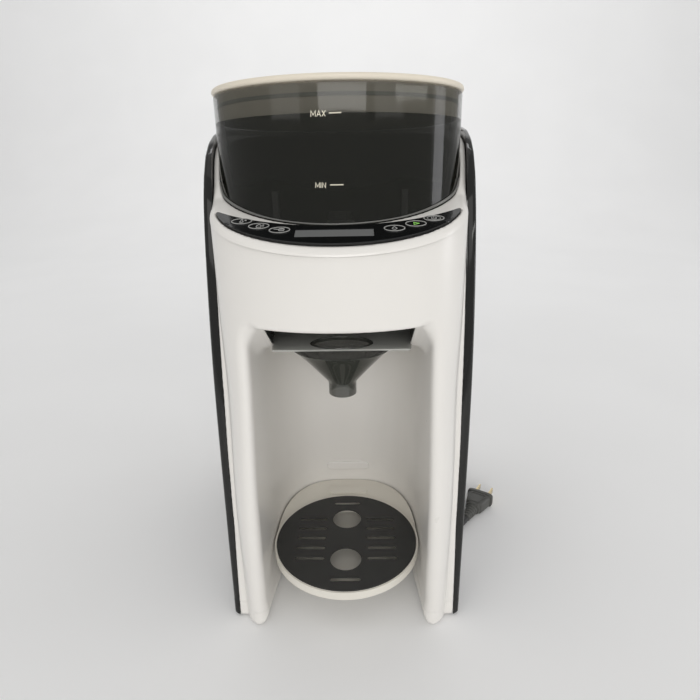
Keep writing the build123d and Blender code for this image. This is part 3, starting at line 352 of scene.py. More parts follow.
def supell(u, v, A, B, n):
    """signed distance, near the wall, to a superellipse u >= 0, v >= 0"""
    a = np.maximum(u / A, 1e-9)
    b = np.maximum(v / B, 0.0)
    s = np.maximum((a ** n + b ** n) ** (1.0 / n), 1e-6)
    g = np.hypot((a / s) ** (n - 1) / A, (b / s) ** (n - 1) / B)
    return (s - 1) / np.maximum(g, 1e-6)


def shell_plan(x, y, A, B, yc, n):
    ax = np.abs(x)
    hw = A + (88.5 - A) * np.clip((y - yc) / (52.0 - yc), 0, 1)
    front = supell(ax, yc - y, A, B, n)
    return np.where(y < yc, front, ax - hw)


def smooth01(t):
    t = np.clip(t, 0, 1)
    return t * t * (3 - 2 * t)


def surface_net(field, lo, hi, h, iters=4):
    ax = [np.arange(lo[k] - h, hi[k] + 1.5 * h, h) for k in range(3)]
    X, Y, Z = np.meshgrid(*ax, indexing="ij", sparse=True)
    f = np.broadcast_to(field(X, Y, Z), tuple(len(a) for a in ax)).astype(np.float32)
    neg = f < 0
    n = tuple(s - 1 for s in f.shape)
    cnt = np.zeros(n, np.int8)
    corners = [(i, j, k) for i in (0, 1) for j in (0, 1) for k in (0, 1)]
    for i, j, k in corners:
        cnt += neg[i:n[0] + i, j:n[1] + j, k:n[2] + k]
    act = (cnt > 0) & (cnt < 8)
    I = np.argwhere(act)
    idx = -np.ones(n, np.int32)
    idx[act] = np.arange(len(I))
    acc = np.zeros((len(I), 3))
    num = np.zeros(len(I))
    for a in range(3):
        o = [k for k in range(3) if k != a]
        for p in (0, 1):
            for q in (0, 1):
                c0 = np.zeros(3, int)
                c0[o[0]], c0[o[1]] = p, q
                c1 = c0.copy()
                c1[a] = 1
                f0 = f[I[:, 0] + c0[0], I[:, 1] + c0[1], I[:, 2] + c0[2]]
                f1 = f[I[:, 0] + c1[0], I[:, 1] + c1[1], I[:, 2] + c1[2]]
                m = (f0 < 0) != (f1 < 0)
                t = np.where(m, f0 / np.where(m, f0 - f1, 1.0), 0.0)
                pos = I + c0 + 0.0
                pos[:, a] += t
                acc[m] += pos[m]
                num[m] += 1
    V = acc / num[:, None] * h + np.array([a[0] for a in ax])
    quads = []
    for a in range(3):
        o1, o2 = (a + 1) % 3, (a + 2) % 3
        s0 = [slice(1, -1)] * 3
        s1 = [slice(1, -1)] * 3
        s0[a] = slice(0, -1)
        s1[a] = slice(1, None)
        A0, A1 = neg[tuple(s0)], neg[tuple(s1)]
        ch = np.argwhere(A0 != A1)
        if not len(ch):
            continue
        base = ch.copy()
        base[:, o1] += 1
        base[:, o2] += 1
        flip = A0[ch[:, 0], ch[:, 1], ch[:, 2]]

        def cell(d1, d2):
            c = base.copy()
            c[:, o1] += d1
            c[:, o2] += d2
            return idx[c[:, 0], c[:, 1], c[:, 2]]
        q = np.stack([cell(-1, -1), cell(0, -1), cell(0, 0), cell(-1, 0)], 1)
        q[~flip] = q[~flip][:, ::-1]
        quads.append(q)
    Q = np.concatenate(quads)
    Q = Q[(Q >= 0).all(1)]
    e = 0.02
    E = np.concatenate([Q[:, [0, 1]], Q[:, [1, 2]], Q[:, [2, 3]], Q[:, [3, 0]]])
    deg = np.maximum(np.bincount(E.ravel(), minlength=len(V)), 1)[:, None]
    for step_no in range(iters + 4):
        if 1 <= step_no <= 4:
            tot = np.stack([np.bincount(E[:, 0], V[E[:, 1], k], len(V)) + np.bincount(E[:, 1], V[E[:, 0], k], len(V)) for k in range(3)], 1)
            V = V + 0.6 * (tot / deg - V)
        x, y, z = V[:, 0], V[:, 1], V[:, 2]
        v0 = field(x, y, z)
        g = np.stack([(field(x + e, y, z) - field(x - e, y, z)), (field(x, y + e, z) - field(x, y - e, z)),
                      (field(x, y, z + e) - field(x, y, z - e))], 1) / (2 * e)
        g2 = np.maximum((g * g).sum(1), 0.05)
        step = (v0 / g2)[:, None] * g
        ln = np.linalg.norm(step, axis=1)
        step *= np.minimum(1.0, 0.4 * h / np.maximum(ln, 1e-9))[:, None]
        V = V - step
    return V, Q


def to_frame(V):
    W = np.array(V, float)
    W[:, 1] += YT * 1000.0
    return W * 0.001


# --- front housing
def roof_field(x, y, z):
    """under the roof of the bottle space: negative below it"""
    line = ((z - 229.5) + 0.73005 * (y + 36.0)) / math.hypot(1, 0.73005)
    low = rmin(z - 198.4, line, 9.0)
    return rmax(z - 229.5, low, 1.0)


def bay_field(x, y, z):
    ax = np.abs(x)
    fl = np.clip(2.6 + (y + 50.0) * (7.0 / 42.0), 0.0, 9.5) * np.clip(1 - z / 21.0, 0, 1) ** 1.6
    half = 59.0 - fl
    back = supell(ax, y - 5.0, half, 83.0, 2.8)
    plan = np.where(y > 5.0, back, ax - half)
    return rmax(plan, roof_field(x, y, z), 10.0)


def flange_edge(z):
    return np.interp(z, (0, 9, 60, 140, 230, 283, 300), (-43.5, -42.0, -32.0, -13.5, 4.0, 12.0, 15.0))


def flange_half(y, z):
    """half width of the flange behind the legs, which carries the side panel"""
    fx = np.interp(z, (0, 18, 45, 68, 91, 113, 137, 180, 222, 250, 283, 300), (80.6, 81.0, 81.5, 81.9, 82.9, 83.9, 84.7, 85.5, 86.0, 86.0, 84.7, 84.3))
    e = flange_edge(z)
    return fx + (88.5 - fx) * np.clip((y - e) / (52.0 - e), 0, 1)


def housing_field(x, y, z):
    zc = np.clip(z, 0, 300)
    A, B, N = np.polyval(PA, zc), np.polyval(PB, zc), np.polyval(PN, zc)
    yc = 8.0 - smooth01(zc / 225.0)
    s = 1 - smooth01((zc - 70.0) / 130.0)
    body = shell_plan(x, y, A, B, yc, N)
    As = A - np.interp(zc, (0, 110, 225), (4.2, 2.4, 0.0))
    Bs = np.interp(zc, (0, 60, 110, 170, 225), (64.0, 63.6, 62.6, 60.6, 58.4)) * s + B * (1 - s)
    Ns = N + (np.interp(zc, (0, 60, 110, 225), (7.0, 5.8, 4.7, 2.1)) - N) * s
    slim = supell(np.abs(x), yc - y, As, Bs, Ns)
    slim = np.where(y < yc, slim, np.abs(x) - As)
    edge = flange_edge(zc)
    flange = rmax(rmax(np.abs(x) - flange_half(y, zc), edge - y, 0.9), 1.6 - z, 0.6)
    outer = rmin(slim, flange, 0.35)
    outer = rmax(outer, 1.2 - z, 1.6)
    soft = 1.6 + 8.0 * smooth01((np.abs(x) - 49.0) / 9.0)
    soft = np.where(z < 212, 9.6, soft)
    return rmax(outer, -bay_field(x, y, z), soft)


def faces_near(bm, test):
    out = []
    for f in bm.faces:
        c = f.calc_center_median()
        if test(c.x, c.y, c.z):
            out.append(f)
    g = set(out)
    for f in out:
        g.update(f.edges)
        g.update(f.verts)
    return list(g)


def split_plane(bm, test, co, no, clear=False):
    geom = faces_near(bm, test)
    bmesh.ops.bisect_plane(bm, geom=geom, plane_co=co, plane_no=no, dist=1e-7, clear_outer=clear)


def drop(bm, test):
    bad = [f for f in bm.faces if test(*f.calc_center_median())]
    bmesh.ops.delete(bm, geom=bad, context="FACES")


def build_housing():
    h = 1.5
    V, Q = surface_net(housing_field, (-90, -66, 0.5), (90, 113, 292), h)
    ob = mesh_object("front_shell", to_frame(V), Q, WHITE, body="machine")
    bm = bmesh.new()
    bm.from_mesh(ob.data)
    every = lambda x, y, z: True
    split_plane(bm, every, (0, YT - 0.0502, 0.2757), tuple(DN), clear=True)
    split_plane(bm, every, (0, YT + 0.110, 0), (0, 1, 0), clear=True)
    # drawer slot in the slope, and the opening for the bowl
    nb = lambda x, y, z: 0.19 < z < 0.240 and y < YT + 0.040 and abs(x) < 0.062
    split_plane(bm, nb, (0, 0, 0.2290), (0, 0, 1))
    split_plane(bm, nb, (0, 0, 0.2006), (0, 0, 1))
    for s in (-1, 1):
        split_plane(bm, nb, (s * 0.0481, 0, 0), (1, 0, 0))
        split_plane(bm, nb, (s * 0.0355, 0, 0), (1, 0, 0))
    split_plane(bm, nb, (0, YT + 0.0355, 0), (0, 1, 0))
    drop(bm, lambda x, y, z: abs(x) < 0.0481 and 0.2006 < z < 0.2290 and y < YT + 0.012)
    drop(bm, lambda x, y, z: abs(x) < 0.0355 and 0.19 < z < 0.2012 and y < YT + 0.0355)
    # moulding line round each foot
    for zz in (0.0118, 0.0122, 0.0126):
        split_plane(bm, lambda x, y, z: 0.006 < z < 0.02, (0, 0, zz), (0, 0, 1))
    bm.normal_update()
    for v in bm.verts:
        if abs(v.co.z - 0.0122) < 1e-5:
            v.co -= v.normal * 0.0004
    bm.to_mesh(ob.data)
    bm.free()
    for p in ob.data.polygons:
        p.use_smooth = True
    so = ob.modifiers.new("wall", "SOLIDIFY")
    so.thickness = 0.0022
    so.offset = -1.0
    so.use_even_offset = False
    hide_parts("front_housing")
    return ob


# --- bezel
def hermite(y, ys, zs, ms):
    y = np.asarray(y, float)
    out = np.full(np.shape(y), zs[0], float)
    out = np.where(y >= ys[-1], zs[-1] + ms[-1] * (y - ys[-1]), out)
    out = np.where(y < ys[0], zs[0] + ms[0] * (y - ys[0]), out)
    for i in range(len(ys) - 1):
        hh = ys[i + 1] - ys[i]
        t = np.clip((y - ys[i]) / hh, 0, 1)
        v = ((2 * t ** 3 - 3 * t ** 2 + 1) * zs[i] + (t ** 3 - 2 * t ** 2 + t) * hh * ms[i]
             + (-2 * t ** 3 + 3 * t ** 2) * zs[i + 1] + (t ** 3 - t ** 2) * hh * ms[i + 1])
        out = np.where((y >= ys[i]) & (y < ys[i + 1]), v, out)
    return out


def crown(y):
    return hermite(y, (14.0, 26.0, 42.0, 70.0, 109.7), (303.13, 312.0, 330.0, 342.0, 346.0), (0.36, 0.95, 0.72, 0.20, 0.04))


def crescent(x, y, grow):
    """plan of the black panel: between two ellipses, with rounded tips"""
    e_out = supell(np.abs(x), np.maximum(7.0 - y, 0.0), 80.4, 54.2, 2.0)
    e_out = np.where(y < 7.0, e_out, np.abs(x) - 80.4)
    e_in = supell(np.abs(x), np.abs(y - 40.0), 103.0, 64.9, 2.0)
    return rmax(e_out - grow, -(e_in + grow), 2.8)


def build_panel():
    """outline of the black crescent panel: its rounded plan, as a closed list of points"""
    src = nodes["control_panel"]
    ys = np.arange(-52.0, 12.0, 0.02)
    lo, hi = [], []
    for x in np.concatenate([np.linspace(0, 70, 60), np.linspace(70.5, 80.5, 60)]):
        f = crescent(np.full(len(ys), x), ys, -0.3)
        k = np.nonzero((f < 0) & (ys < 5.0))[0]
        if len(k):
            lo.append((x, ys[k[0]]))
            hi.append((x, ys[k[-1]]))
    half = lo + hi[::-1]
    poly = half + [(-x, y) for x, y in half[::-1][:-1]]
    clean = []
    for p in poly:
        if not clean or math.hypot(p[0] - clean[-1][0], p[1] - clean[-1][1]) > 0.05:
            clean.append(p)
    if math.hypot(clean[0][0] - clean[-1][0], clean[0][1] - clean[-1][1]) < 0.05:
        clean.pop()
    return clean


def cut_panel():
    src = nodes["control_panel"]
    poly = build_panel()
    n = len(poly)
    V = [(x, y, 262.0) for x, y in poly] + [(x, y, 312.0) for x, y in poly]
    F = [tuple(range(n - 1, -1, -1)), tuple(range(n, 2 * n))] + [(i, (i + 1) % n, n + (i + 1) % n, n + i) for i in range(n)]
    cutter = mesh_object("panel_cutter", to_frame(V), F, DECKBLACK, smooth=False)
    me = src.data.copy()
    me.transform(src.matrix_world)
    tmp = D.objects.new("panel_tmp", me)
    bpy.context.scene.collection.objects.link(tmp)
    md = tmp.modifiers.new("cut", "BOOLEAN")
    md.operation = "INTERSECT"
    md.solver = "EXACT"
    md.object = cutter
    dg = bpy.context.evaluated_depsgraph_get()
    out = D.meshes.new_from_object(tmp.evaluated_get(dg))
    D.objects.remove(tmp)
    D.objects.remove(cutter)
    if len(out.polygons) < 20:
        raise RuntimeError("panel cut failed")
    out.materials.clear()
    out.materials.append(DECKBLACK.m)
    for p in out.polygons:
        p.material_index = 0
    out.set_sharp_from_angle(angle=math.radians(30))
    ob = D.objects.new("panel_skin", out)
    bpy.context.scene.collection.objects.link(ob)
    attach(ob, "machine")
    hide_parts("control_panel")
    return ob


def bezel_field(x, y, z):
    yc = 7.0
    plan = shell_plan(x, y, 84.2, 58.3, yc, 2.0)
    d = (crown(y + 0.5) - crown(y - 0.5))
    top = (z - crown(y)) / np.sqrt(1 + d * d)
    r = 4.6 - 2.9 * smooth01((y - 8.0) / 30.0)
    body = rmax(plan, top, r)
    well = supell(np.abs(x), np.abs(y - 40.0), 83.1, 63.1, 2.0)
    body = rmax(body, -well, 0.9)
    rec = np.maximum(crescent(x, y, 0.0), y - 12.0)
    rec = rmax(rec, -(deck_off(x, y, z, -47.0, 283.0) + 2.4), 0.3)
    return rmax(body, -rec, 0.5)


def build_bezel():
    h = 0.9
    V, Q = surface_net(bezel_field, (-91, -54, 268), (91, 112, 349), h)
    ob = mesh_object("bezel_shell", to_frame(V), Q, WHITE, body="machine")
    bm = bmesh.new()
    bm.from_mesh(ob.data)
    every = lambda x, y, z: True
    o = Vector((0, YT - 0.0502, 0.2757)) + Vector(DN) * 0.00035
    split_plane(bm, every, tuple(o), tuple(-DN), clear=True)
    split_plane(bm, every, (0, YT + 0.1097, 0), (0, 1, 0), clear=True)
    bm.to_mesh(ob.data)
    bm.free()
    for p in ob.data.polygons:
        p.use_smooth = True
    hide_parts("control_bezel")
    return ob


# ------------------------------------------------------------------ turned and lofted pieces
def loft_mesh(name, rings, mat, loop=False, cap0=False, cap1=False, sharp=38.0, **kw):
    """rings: m rows of n points in millimetres, y from the bottle axis"""
    R = np.asarray(rings, float)
    m, n = R.shape[:2]
    V = R.reshape(-1, 3)
    F = []
    last = m if loop else m - 1
    for i in range(last):
        a, b = i * n, ((i + 1) % m) * n
        for j in range(n):
            k = (j + 1) % n
            F.append((a + j, a + k, b + k, b + j))
    if cap0:
        F.append(tuple(range(n - 1, -1, -1)))
    if cap1:
        F.append(tuple((m - 1) * n + j for j in range(n)))
    ob = mesh_object(name, to_frame(V), F, mat, **kw)
    bm = bmesh.new()
    bm.from_mesh(ob.data)
    bmesh.ops.recalc_face_normals(bm, faces=bm.faces)
    bm.to_mesh(ob.data)
    bm.free()
    if sharp:
        ob.data.set_sharp_from_angle(angle=math.radians(sharp))
    return ob


def ellipse(a, b, yc, z, n=192, xc=0.0):
    t = np.linspace(0, 2 * math.pi, n, endpoint=False)
    x = xc + a * np.sin(t)
    y = yc - b * np.cos(t)
    return np.stack([x, y, z(y) if callable(z) else np.full(n, float(z))], 1)


def rim_z(dz):
    return lambda y: 368.4 + dz - 0.05 * (y + 22.5)


def build_container():
    A, B, C = 82.5, 62.5, 40.0
    hole = lambda r, z: ellipse(r, r, 0.0, z)
    off = lambda o, z: ellipse(A - o, B - o, C, z)
    R = [hole(8.8, 255.3), hole(8.8, 255.31), hole(10.3, 255.3), hole(10.6, 255.6), hole(10.6, 260.3), off(6.0, 260.3)]
    for t in np.linspace(10, 90, 8):
        a = math.radians(t)
        R.append(off(6.0 - 6.0 * math.sin(a), 266.3 - 6.0 * math.cos(a)))
    for t in np.linspace(0.12, 1.0, 8):
        R.append(off(0.0, lambda y, t=t: 266.3 + (rim_z(-15.6)(y) - 266.3) * t))
    for t in np.linspace(1.0, 0.12, 8):
        R.append(off(2.2, lambda y, t=t: 267.3 + (rim_z(-15.6)(y) - 267.3) * t))
    for t in np.linspace(90, 0, 7):
        a = math.radians(t)
        R.append(off(6.2 - 4.0 * math.sin(a), 267.3 - 4.0 * math.cos(a)))
    R += [hole(8.82, 263.3), hole(8.8, 263.2)]
    ob = loft_mesh("container_wall", R, SMOKE, loop=True, body="container")
    # clearer band round the rim
    R = [off(0.0, rim_z(-15.58)), off(0.0, rim_z(-10.0)), off(0.0, rim_z(-5.0)), off(0.0, rim_z(-1.0))]
    for t in np.linspace(0, 180, 9):
        a = math.radians(t)
        R.append(off(1.1 - 1.1 * math.cos(a), rim_z(-0.3 + 1.1 * math.sin(a))))
    R += [off(2.2, rim_z(-1.0)), off(2.2, rim_z(-5.0)), off(2.2, rim_z(-10.0)), off(2.2, rim_z(-15.58))]
    rim = loft_mesh("container_rim", R, SMOKE_RIM, loop=True, body="container")
    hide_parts("powder_container")
    return ob


def build_lid():
    A, B, C = 83.3, 63.3, 40.0
    off = lambda o, z: ellipse(A - o, B - o, C, rim_z(z))
    R = [off(3.8, 1.3), off(3.8, -15.0), off(4.2, -15.4), off(5.3, -15.4), off(5.8, -15.0), off(5.8, 0.5), off(7.2, 1.3), off(30.0, 1.3), off(60.0, 1.3)]
    top = []
    # soft outer edge, then a shallow step and the slightly domed middle
    for t in np.linspace(-90, 90, 13):
        a = math.radians(t)
        top.append(off(1.9 - 1.9 * math.cos(a), 3.15 + 1.9 * math.sin(a)))
    top[0] = off(1.9, 1.25)
    top += [off(6.2, 5.05), off(6.9, 4.9), off(7.3, 4.5), off(7.9, 4.25), off(11.0, 4.2), off(30.0, 4.6), off(50.0, 4.95), off(62.0, 5.0)]
    rings = [off(62.0, 1.3)] + R[::-1][1:] + top
    ob = loft_mesh("lid_top", rings, CREAM, cap0=True, cap1=True, body="lid")
    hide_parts("container_lid")
    return ob


def build_foot_ring():
    """grey translucent gasket lying between the container wall and the lip of the deck, thick at the sides"""
    n = 220
    t = np.linspace(0, 2 * math.pi, n, endpoint=False)
    side = np.sin(t) ** 2
    y0 = 40 - 62.9 * np.cos(t)
    thick = 0.5 + 0.6 * smooth01((np.abs(np.sin(t)) - 0.45) / 0.45)
    rings = []
    for a in np.linspace(0, 2 * math.pi, 14, endpoint=False):
        rr = thick
        ro = 0.35 + rr * 0.55 * math.cos(a)
        zz = crown(np.minimum(y0, 26.0)) + 0.4 + rr * (0.75 + 1.0 * math.sin(a))
        x = (82.65 + 0.0 + np.maximum(ro, -0.05)) * np.sin(t)
        y = 40 - (62.65 + np.maximum(ro, -0.05)) * np.cos(t)
        rings.append(np.stack([x, y, zz], 1))
    ob = loft_mesh("foot_gasket", rings, GASKET, loop=True, sharp=0, body="container")
    return ob


def build_seat_well():
    """thin wall of the well that the container's foot stands in, below the lip of the deck"""
    t = np.linspace(0, 2 * math.pi, 220, endpoint=False)
    top = crown(np.minimum(40 - 62.9 * np.cos(t), 26.0)) - 1.6
    low = np.full(t.shape, 259.95)
    row = lambda o, z: np.stack([(82.5 + o) * np.sin(t), 40 - (62.5 + o) * np.cos(t), z], 1)
    rings = [row(1.9, low), row(1.9, top), row(2.6, top), row(2.6, low)]
    ob = loft_mesh("seat_well", rings, WHITE, loop=True, body="machine")
    return ob


# ------------------------------------------------------------------ printed marks on the container
LETTERS = {
    "M": [[(0, 0), (0, 1), (0.42, 0.25), (0.84, 1), (0.84, 0)]],
    "A": [[(0, 0), (0.36, 1), (0.72, 0)], [(0.14, 0.34), (0.58, 0.34)]],
    "X": [[(0, 0), (0.64, 1)], [(0, 1), (0.64, 0)]],
    "I": [[(0, 0), (0, 1)]],
    "N": [[(0, 0), (0, 1), (0.62, 0), (0.62, 1)]],
}
ADV = {"M": 1.10, "A": 0.96, "X": 0.90, "I": 0.34, "N": 0.86}


def stroke_quads(pts, w, V, F, closed=False):
    """flat strip of width w along a 2-D line, with mitred corners, thick enough to be a printed film"""
    P = [np.array(p, float) for p in pts]
    n = len(P)
    L, R = [], []
    for i in range(n):
        a = P[(i - 1) % n] if (closed or i > 0) else P[i]
        b = P[(i + 1) % n] if (closed or i < n - 1) else P[i]
        d1 = P[i] - a
        d2 = b - P[i]
        if np.linalg.norm(d1) < 1e-9:
            d1 = d2
        if np.linalg.norm(d2) < 1e-9:
            d2 = d1
        d1, d2 = d1 / np.linalg.norm(d1), d2 / np.linalg.norm(d2)
        n1, n2 = np.array((-d1[1], d1[0])), np.array((-d2[1], d2[0]))
        m = n1 + n2
        m /= max(np.linalg.norm(m), 1e-6)
        k = min(1.0 / max(m @ n1, 0.35), 2.2)
        L.append(P[i] + m * k * w / 2)
        R.append(P[i] - m * k * w / 2)
    base = len(V)
    for l, r in zip(L, R):
        V.append((l[0], l[1], 1.0))
        V.append((r[0], r[1], 1.0))
        V.append((r[0], r[1], 0.0))
        V.append((l[0], l[1], 0.0))
    m = n if closed else n - 1
    for i in range(m):
        a, b = base + 4 * i, base + 4 * ((i + 1) % n)
        for j in range(4):
            k = (j + 1) % 4
            F.append((a + j, b + j, b + k, a + k))
    if not closed:
        F.append((base, base + 1, base + 2, base + 3))
        a = base + 4 * (n - 1)
        F.append((a + 3, a + 2, a + 1, a))


def on_container(V, lift):
    out = []
    for x, z, k in V:
        o = lift * (0.25 + 0.75 * k) if k else 0.02
        s = x / 62.5
        y = 40 - (62.5 + o) * math.sqrt(max(0.0, 1 - (x / (82.5 + o)) ** 2))
        out.append((x, y, z))
    return out


def fine(pts, step=1.2):
    out = [pts[0]]
    for a, b in zip(pts[:-1], pts[1:]):
        a, b = np.array(a, float), np.array(b, float)
        n = max(1, int(np.linalg.norm(b - a) / step))
        for i in range(1, n + 1):
            out.append(tuple(a + (b - a) * i / n))
    return out


def build_marks():
    V, F = [], []

    def word(text, x, z, h, slant=0.06):
        for ch in text:
            for st in LETTERS[ch]:
                pts = [(x + (px + slant * py) * h, z + py * h) for px, py in st]
                stroke_quads(pts, 0.47, V, F)
            x += ADV[ch] * h

    word("MAX", -13.6, 350.9, 3.1)
    stroke_quads(fine([(-3.2, 352.6), (3.9, 352.75)]), 0.62, V, F)
    word("MIN", -12.4, 311.9, 2.9)
    stroke_quads(fine([(-3.6, 313.5), (4.3, 313.5)]), 0.62, V, F)
    ob = mesh_object("level_marks", to_frame(on_container(V, 0.12)), F, INK, smooth=False, body="container")
    bm = bmesh.new()
    bm.from_mesh(ob.data)
    bmesh.ops.recalc_face_normals(bm, faces=bm.faces)
    bm.to_mesh(ob.data)
    bm.free()
    return ob


# ------------------------------------------------------------------ deck details
def deck_pt(x, y, o):
    return np.array((x, y, 283.0 + SLOPE * (y + 47.0))) + DN * o


BTN = [(-59.1, -18.3, 2), (-47.5, -25.0, 2), (-34.3, -30.5, 2), (34.3, -30.5, 0), (47.5, -25.0, 0), (59.1, -18.3, 0)]


def key_xy(i, u, v):
    """a point u, v in millimetres on key i's face, in the deck plane"""
    bx, by, turn = BTN[i]
    a = math.radians(turn)
    return bx + u * math.cos(a) - v * math.sin(a), by + (u * math.sin(a) + v * math.cos(a)) / 1.05304


def key_film(i, V2):
    out = []
    for u, v, k in V2:
        x, y = key_xy(i, u, v)
        out.append(tuple(deck_pt(x, y, 0.30 + 0.20 * k)))
    return out


def arc(cx, cy, rx, ry, a0, a1, n=16):
    return [(cx + rx * math.cos(math.radians(a0 + (a1 - a0) * i / n)), cy + ry * math.sin(math.radians(a0 + (a1 - a0) * i / n))) for i in range(n + 1)]


# generic symbols: thermometer, bottle size, scoop, drop, start and power
SYMBOLS = [
    [[(-0.5, 2.0), (-0.5, -0.4)], [(0.5, 2.0), (0.5, -0.4)], arc(0, 2.0, 0.5, 0.5, 0, 180, 8), arc(0, -1.2, 1.0, 1.0, 125, 415, 16), [(1.5, 1.6), (2.6, 1.6)], [(1.5, 0.6), (2.6, 0.6)]],
    [[(-1.3, -1.9), (-1.3, 0.6), (-0.6, 1.2), (-0.6, 1.9), (0.6, 1.9), (0.6, 1.2), (1.3, 0.6), (1.3, -1.9), (-1.3, -1.9)], [(2.4, -1.6), (2.4, 1.4)], [(1.9, 0.8), (2.4, 1.5), (2.9, 0.8)]],
    [[(-3.2, 1.4), (-0.4, 0.7)], [(-0.6, 0.9), (-0.2, -1.3), (2.2, -1.3), (2.6, 0.9), (-0.6, 0.9)], arc(1.0, 0.9, 1.6, 0.8, 0, 180, 10)],
    [[(0, 2.1), (-1.2, 0.0)], arc(0, -0.5, 1.3, 1.3, 157, 383, 16), [(1.2, 0.0), (0, 2.1)]],
    [[(-1.1, -1.6), (-1.1, 1.6), (1.7, 0), (-1.1, -1.6)]],
    [arc(0, -0.1, 1.6, 1.5, 125, 415, 20), [(0, 0.2), (0, 2.0)]],
]


def build_keys():
    for i in range(6):
        body = "key_%d" % (i + 1)
        # bright ring let into the face
        V, F = [], []
        n = 64
        t = np.linspace(0, 2 * math.pi, n, endpoint=False)
        pts = [(6.15 * math.cos(a), 3.65 * math.sin(a)) for a in t]
        stroke_quads(pts, 0.5, V, F, closed=True)
        if i == 5:
            stroke_quads([(4.2 * math.cos(a), 2.6 * math.sin(a)) for a in t], 0.26, V, F, closed=True)
        ob = mesh_object("key_ring_%d" % (i + 1), to_frame(key_film(i, V)), F, RING, smooth=False, body=body)
        V, F = [], []
        for st in SYMBOLS[i]:
            sc = 0.95 if i != 5 else 0.85
            pts = [(p[0] * sc * 1.15, p[1] * sc) for p in st]
            closed = pts[0] == pts[-1]
            stroke_quads(pts[:-1] if closed else pts, 0.34, V, F, closed=closed)
        ob = mesh_object("key_symbol_%d" % (i + 1), to_frame(key_film(i, V)), F, GREENLIT if i == 4 else SYMBOL, smooth=False, body=body)


# ------------------------------------------------------------------ side panels
PANEL = [
    (5.0, (86.6, 91.6, 94.6, 95.0, 90.4)),
    (60.0, (87.4, 94.4, 98.4, 98.2, 90.8)),
    (160.0, (88.0, 96.8, 102.0, 101.0, 91.0)),
    (270.0, (86.8, 93.8, 97.6, 97.4, 90.6)),
    (352.0, (86.2, 90.6, 92.8, 92.6, 89.8)),
]
PANEL_FIT = [np.polyfit([p[0] for p in PANEL], [p[1][k] for p in PANEL], 3) for k in range(5)]


def panel_outer(y, z):
    cols = [np.polyval(c, z) - 1.6 for c in PANEL_FIT]
    return np.polyval(np.polyfit((-44.0, 10.0, 50.0, 100.0, 152.0), cols, 4), y)


def build_side(side, name):
    """glossy side panel: thin at its front edge, fullest halfway back"""
    zg = np.arange(0.0, 356.0, 1.0)
    pts = [(0.0, -42.6), (9.0, -41.0), (60.0, -31.0), (140.0, -12.5), (230.0, 5.2), (283.0, 13.4), (300.0, 17.0), (316.0, 23.0),
           (330.0, 32.5), (339.0, 45.0), (345.0, 62.0), (348.0, 80.0), (350.0, 108.0)]
    fr = np.interp(zg, [p[0] for p in pts], [p[1] for p in pts])
    ker = np.hanning(13)[1:-1]
    ker /= ker.sum()
    sm = np.convolve(np.pad(fr, 5, mode="edge"), ker, mode="valid")
    fr = np.where(zg < 328, sm, fr)
    front = lambda z: float(np.interp(z, zg, fr))
    levels = [(z, 0) for z in (1.6, 1.9, 2.6)] + [(z, 0) for z in np.linspace(4.0, 12.9, 8)] + [(13.0, 0), (13.0, 1)]
    levels += [(z, 1) for z in np.linspace(16.0, 300.0, 56)] + [(z, 1) for z in np.linspace(304.0, 340.0, 16)] + [(z, 1) for z in np.linspace(341.0, 350.0, 14)]
    rings = []
    u = np.concatenate([[0.0, 0.003, 0.008, 0.015, 0.025], np.linspace(0.04, 0.97, 34), [0.985, 1.0]])
    for z, full in levels:
        ya = front(z)
        yb = 150.0 if full else 2.0 + (z - 1.6) / 11.4 * 12.0
        y = ya + (yb - ya) * u
        if z < 283:
            xi = flange_half(y, z) + 0.3
        else:
            k = smooth01((z - 283.0) / 14.0)
            xi = flange_half(y, z) * (1 - k) + (84.2 + 4.3 * np.clip((y - 7.0) / 45.0, 0, 1)) * k + 0.3
        xo = np.maximum(panel_outer(y, z), xi + 1.0)
        nose = np.sqrt(np.clip(1 - (1 - np.clip((y - ya) / 2.4, 0, 1)) ** 2, 0.03, 1))
        top = math.sqrt(max(0.08, 1 - max(0.0, (z - 345.5) / 4.6) ** 2)) if z > 345.5 else 1.0
        bot = math.sqrt(max(0.2, 1 - max(0.0, (2.6 - z) / 1.1) ** 2)) if z < 2.6 else 1.0
        xo = xi + (xo - xi) * nose * top * bot
        ring = [(side * a, b, z) for a, b in zip(xo, y)] + [(side * a, b, z) for a, b in zip(xi[::-1], y[::-1])]
        rings.append(ring)
    ob = loft_mesh(name + "_skin", rings, BLACK, cap0=True, cap1=True, sharp=40, body="machine")
    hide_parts(name)
    return ob


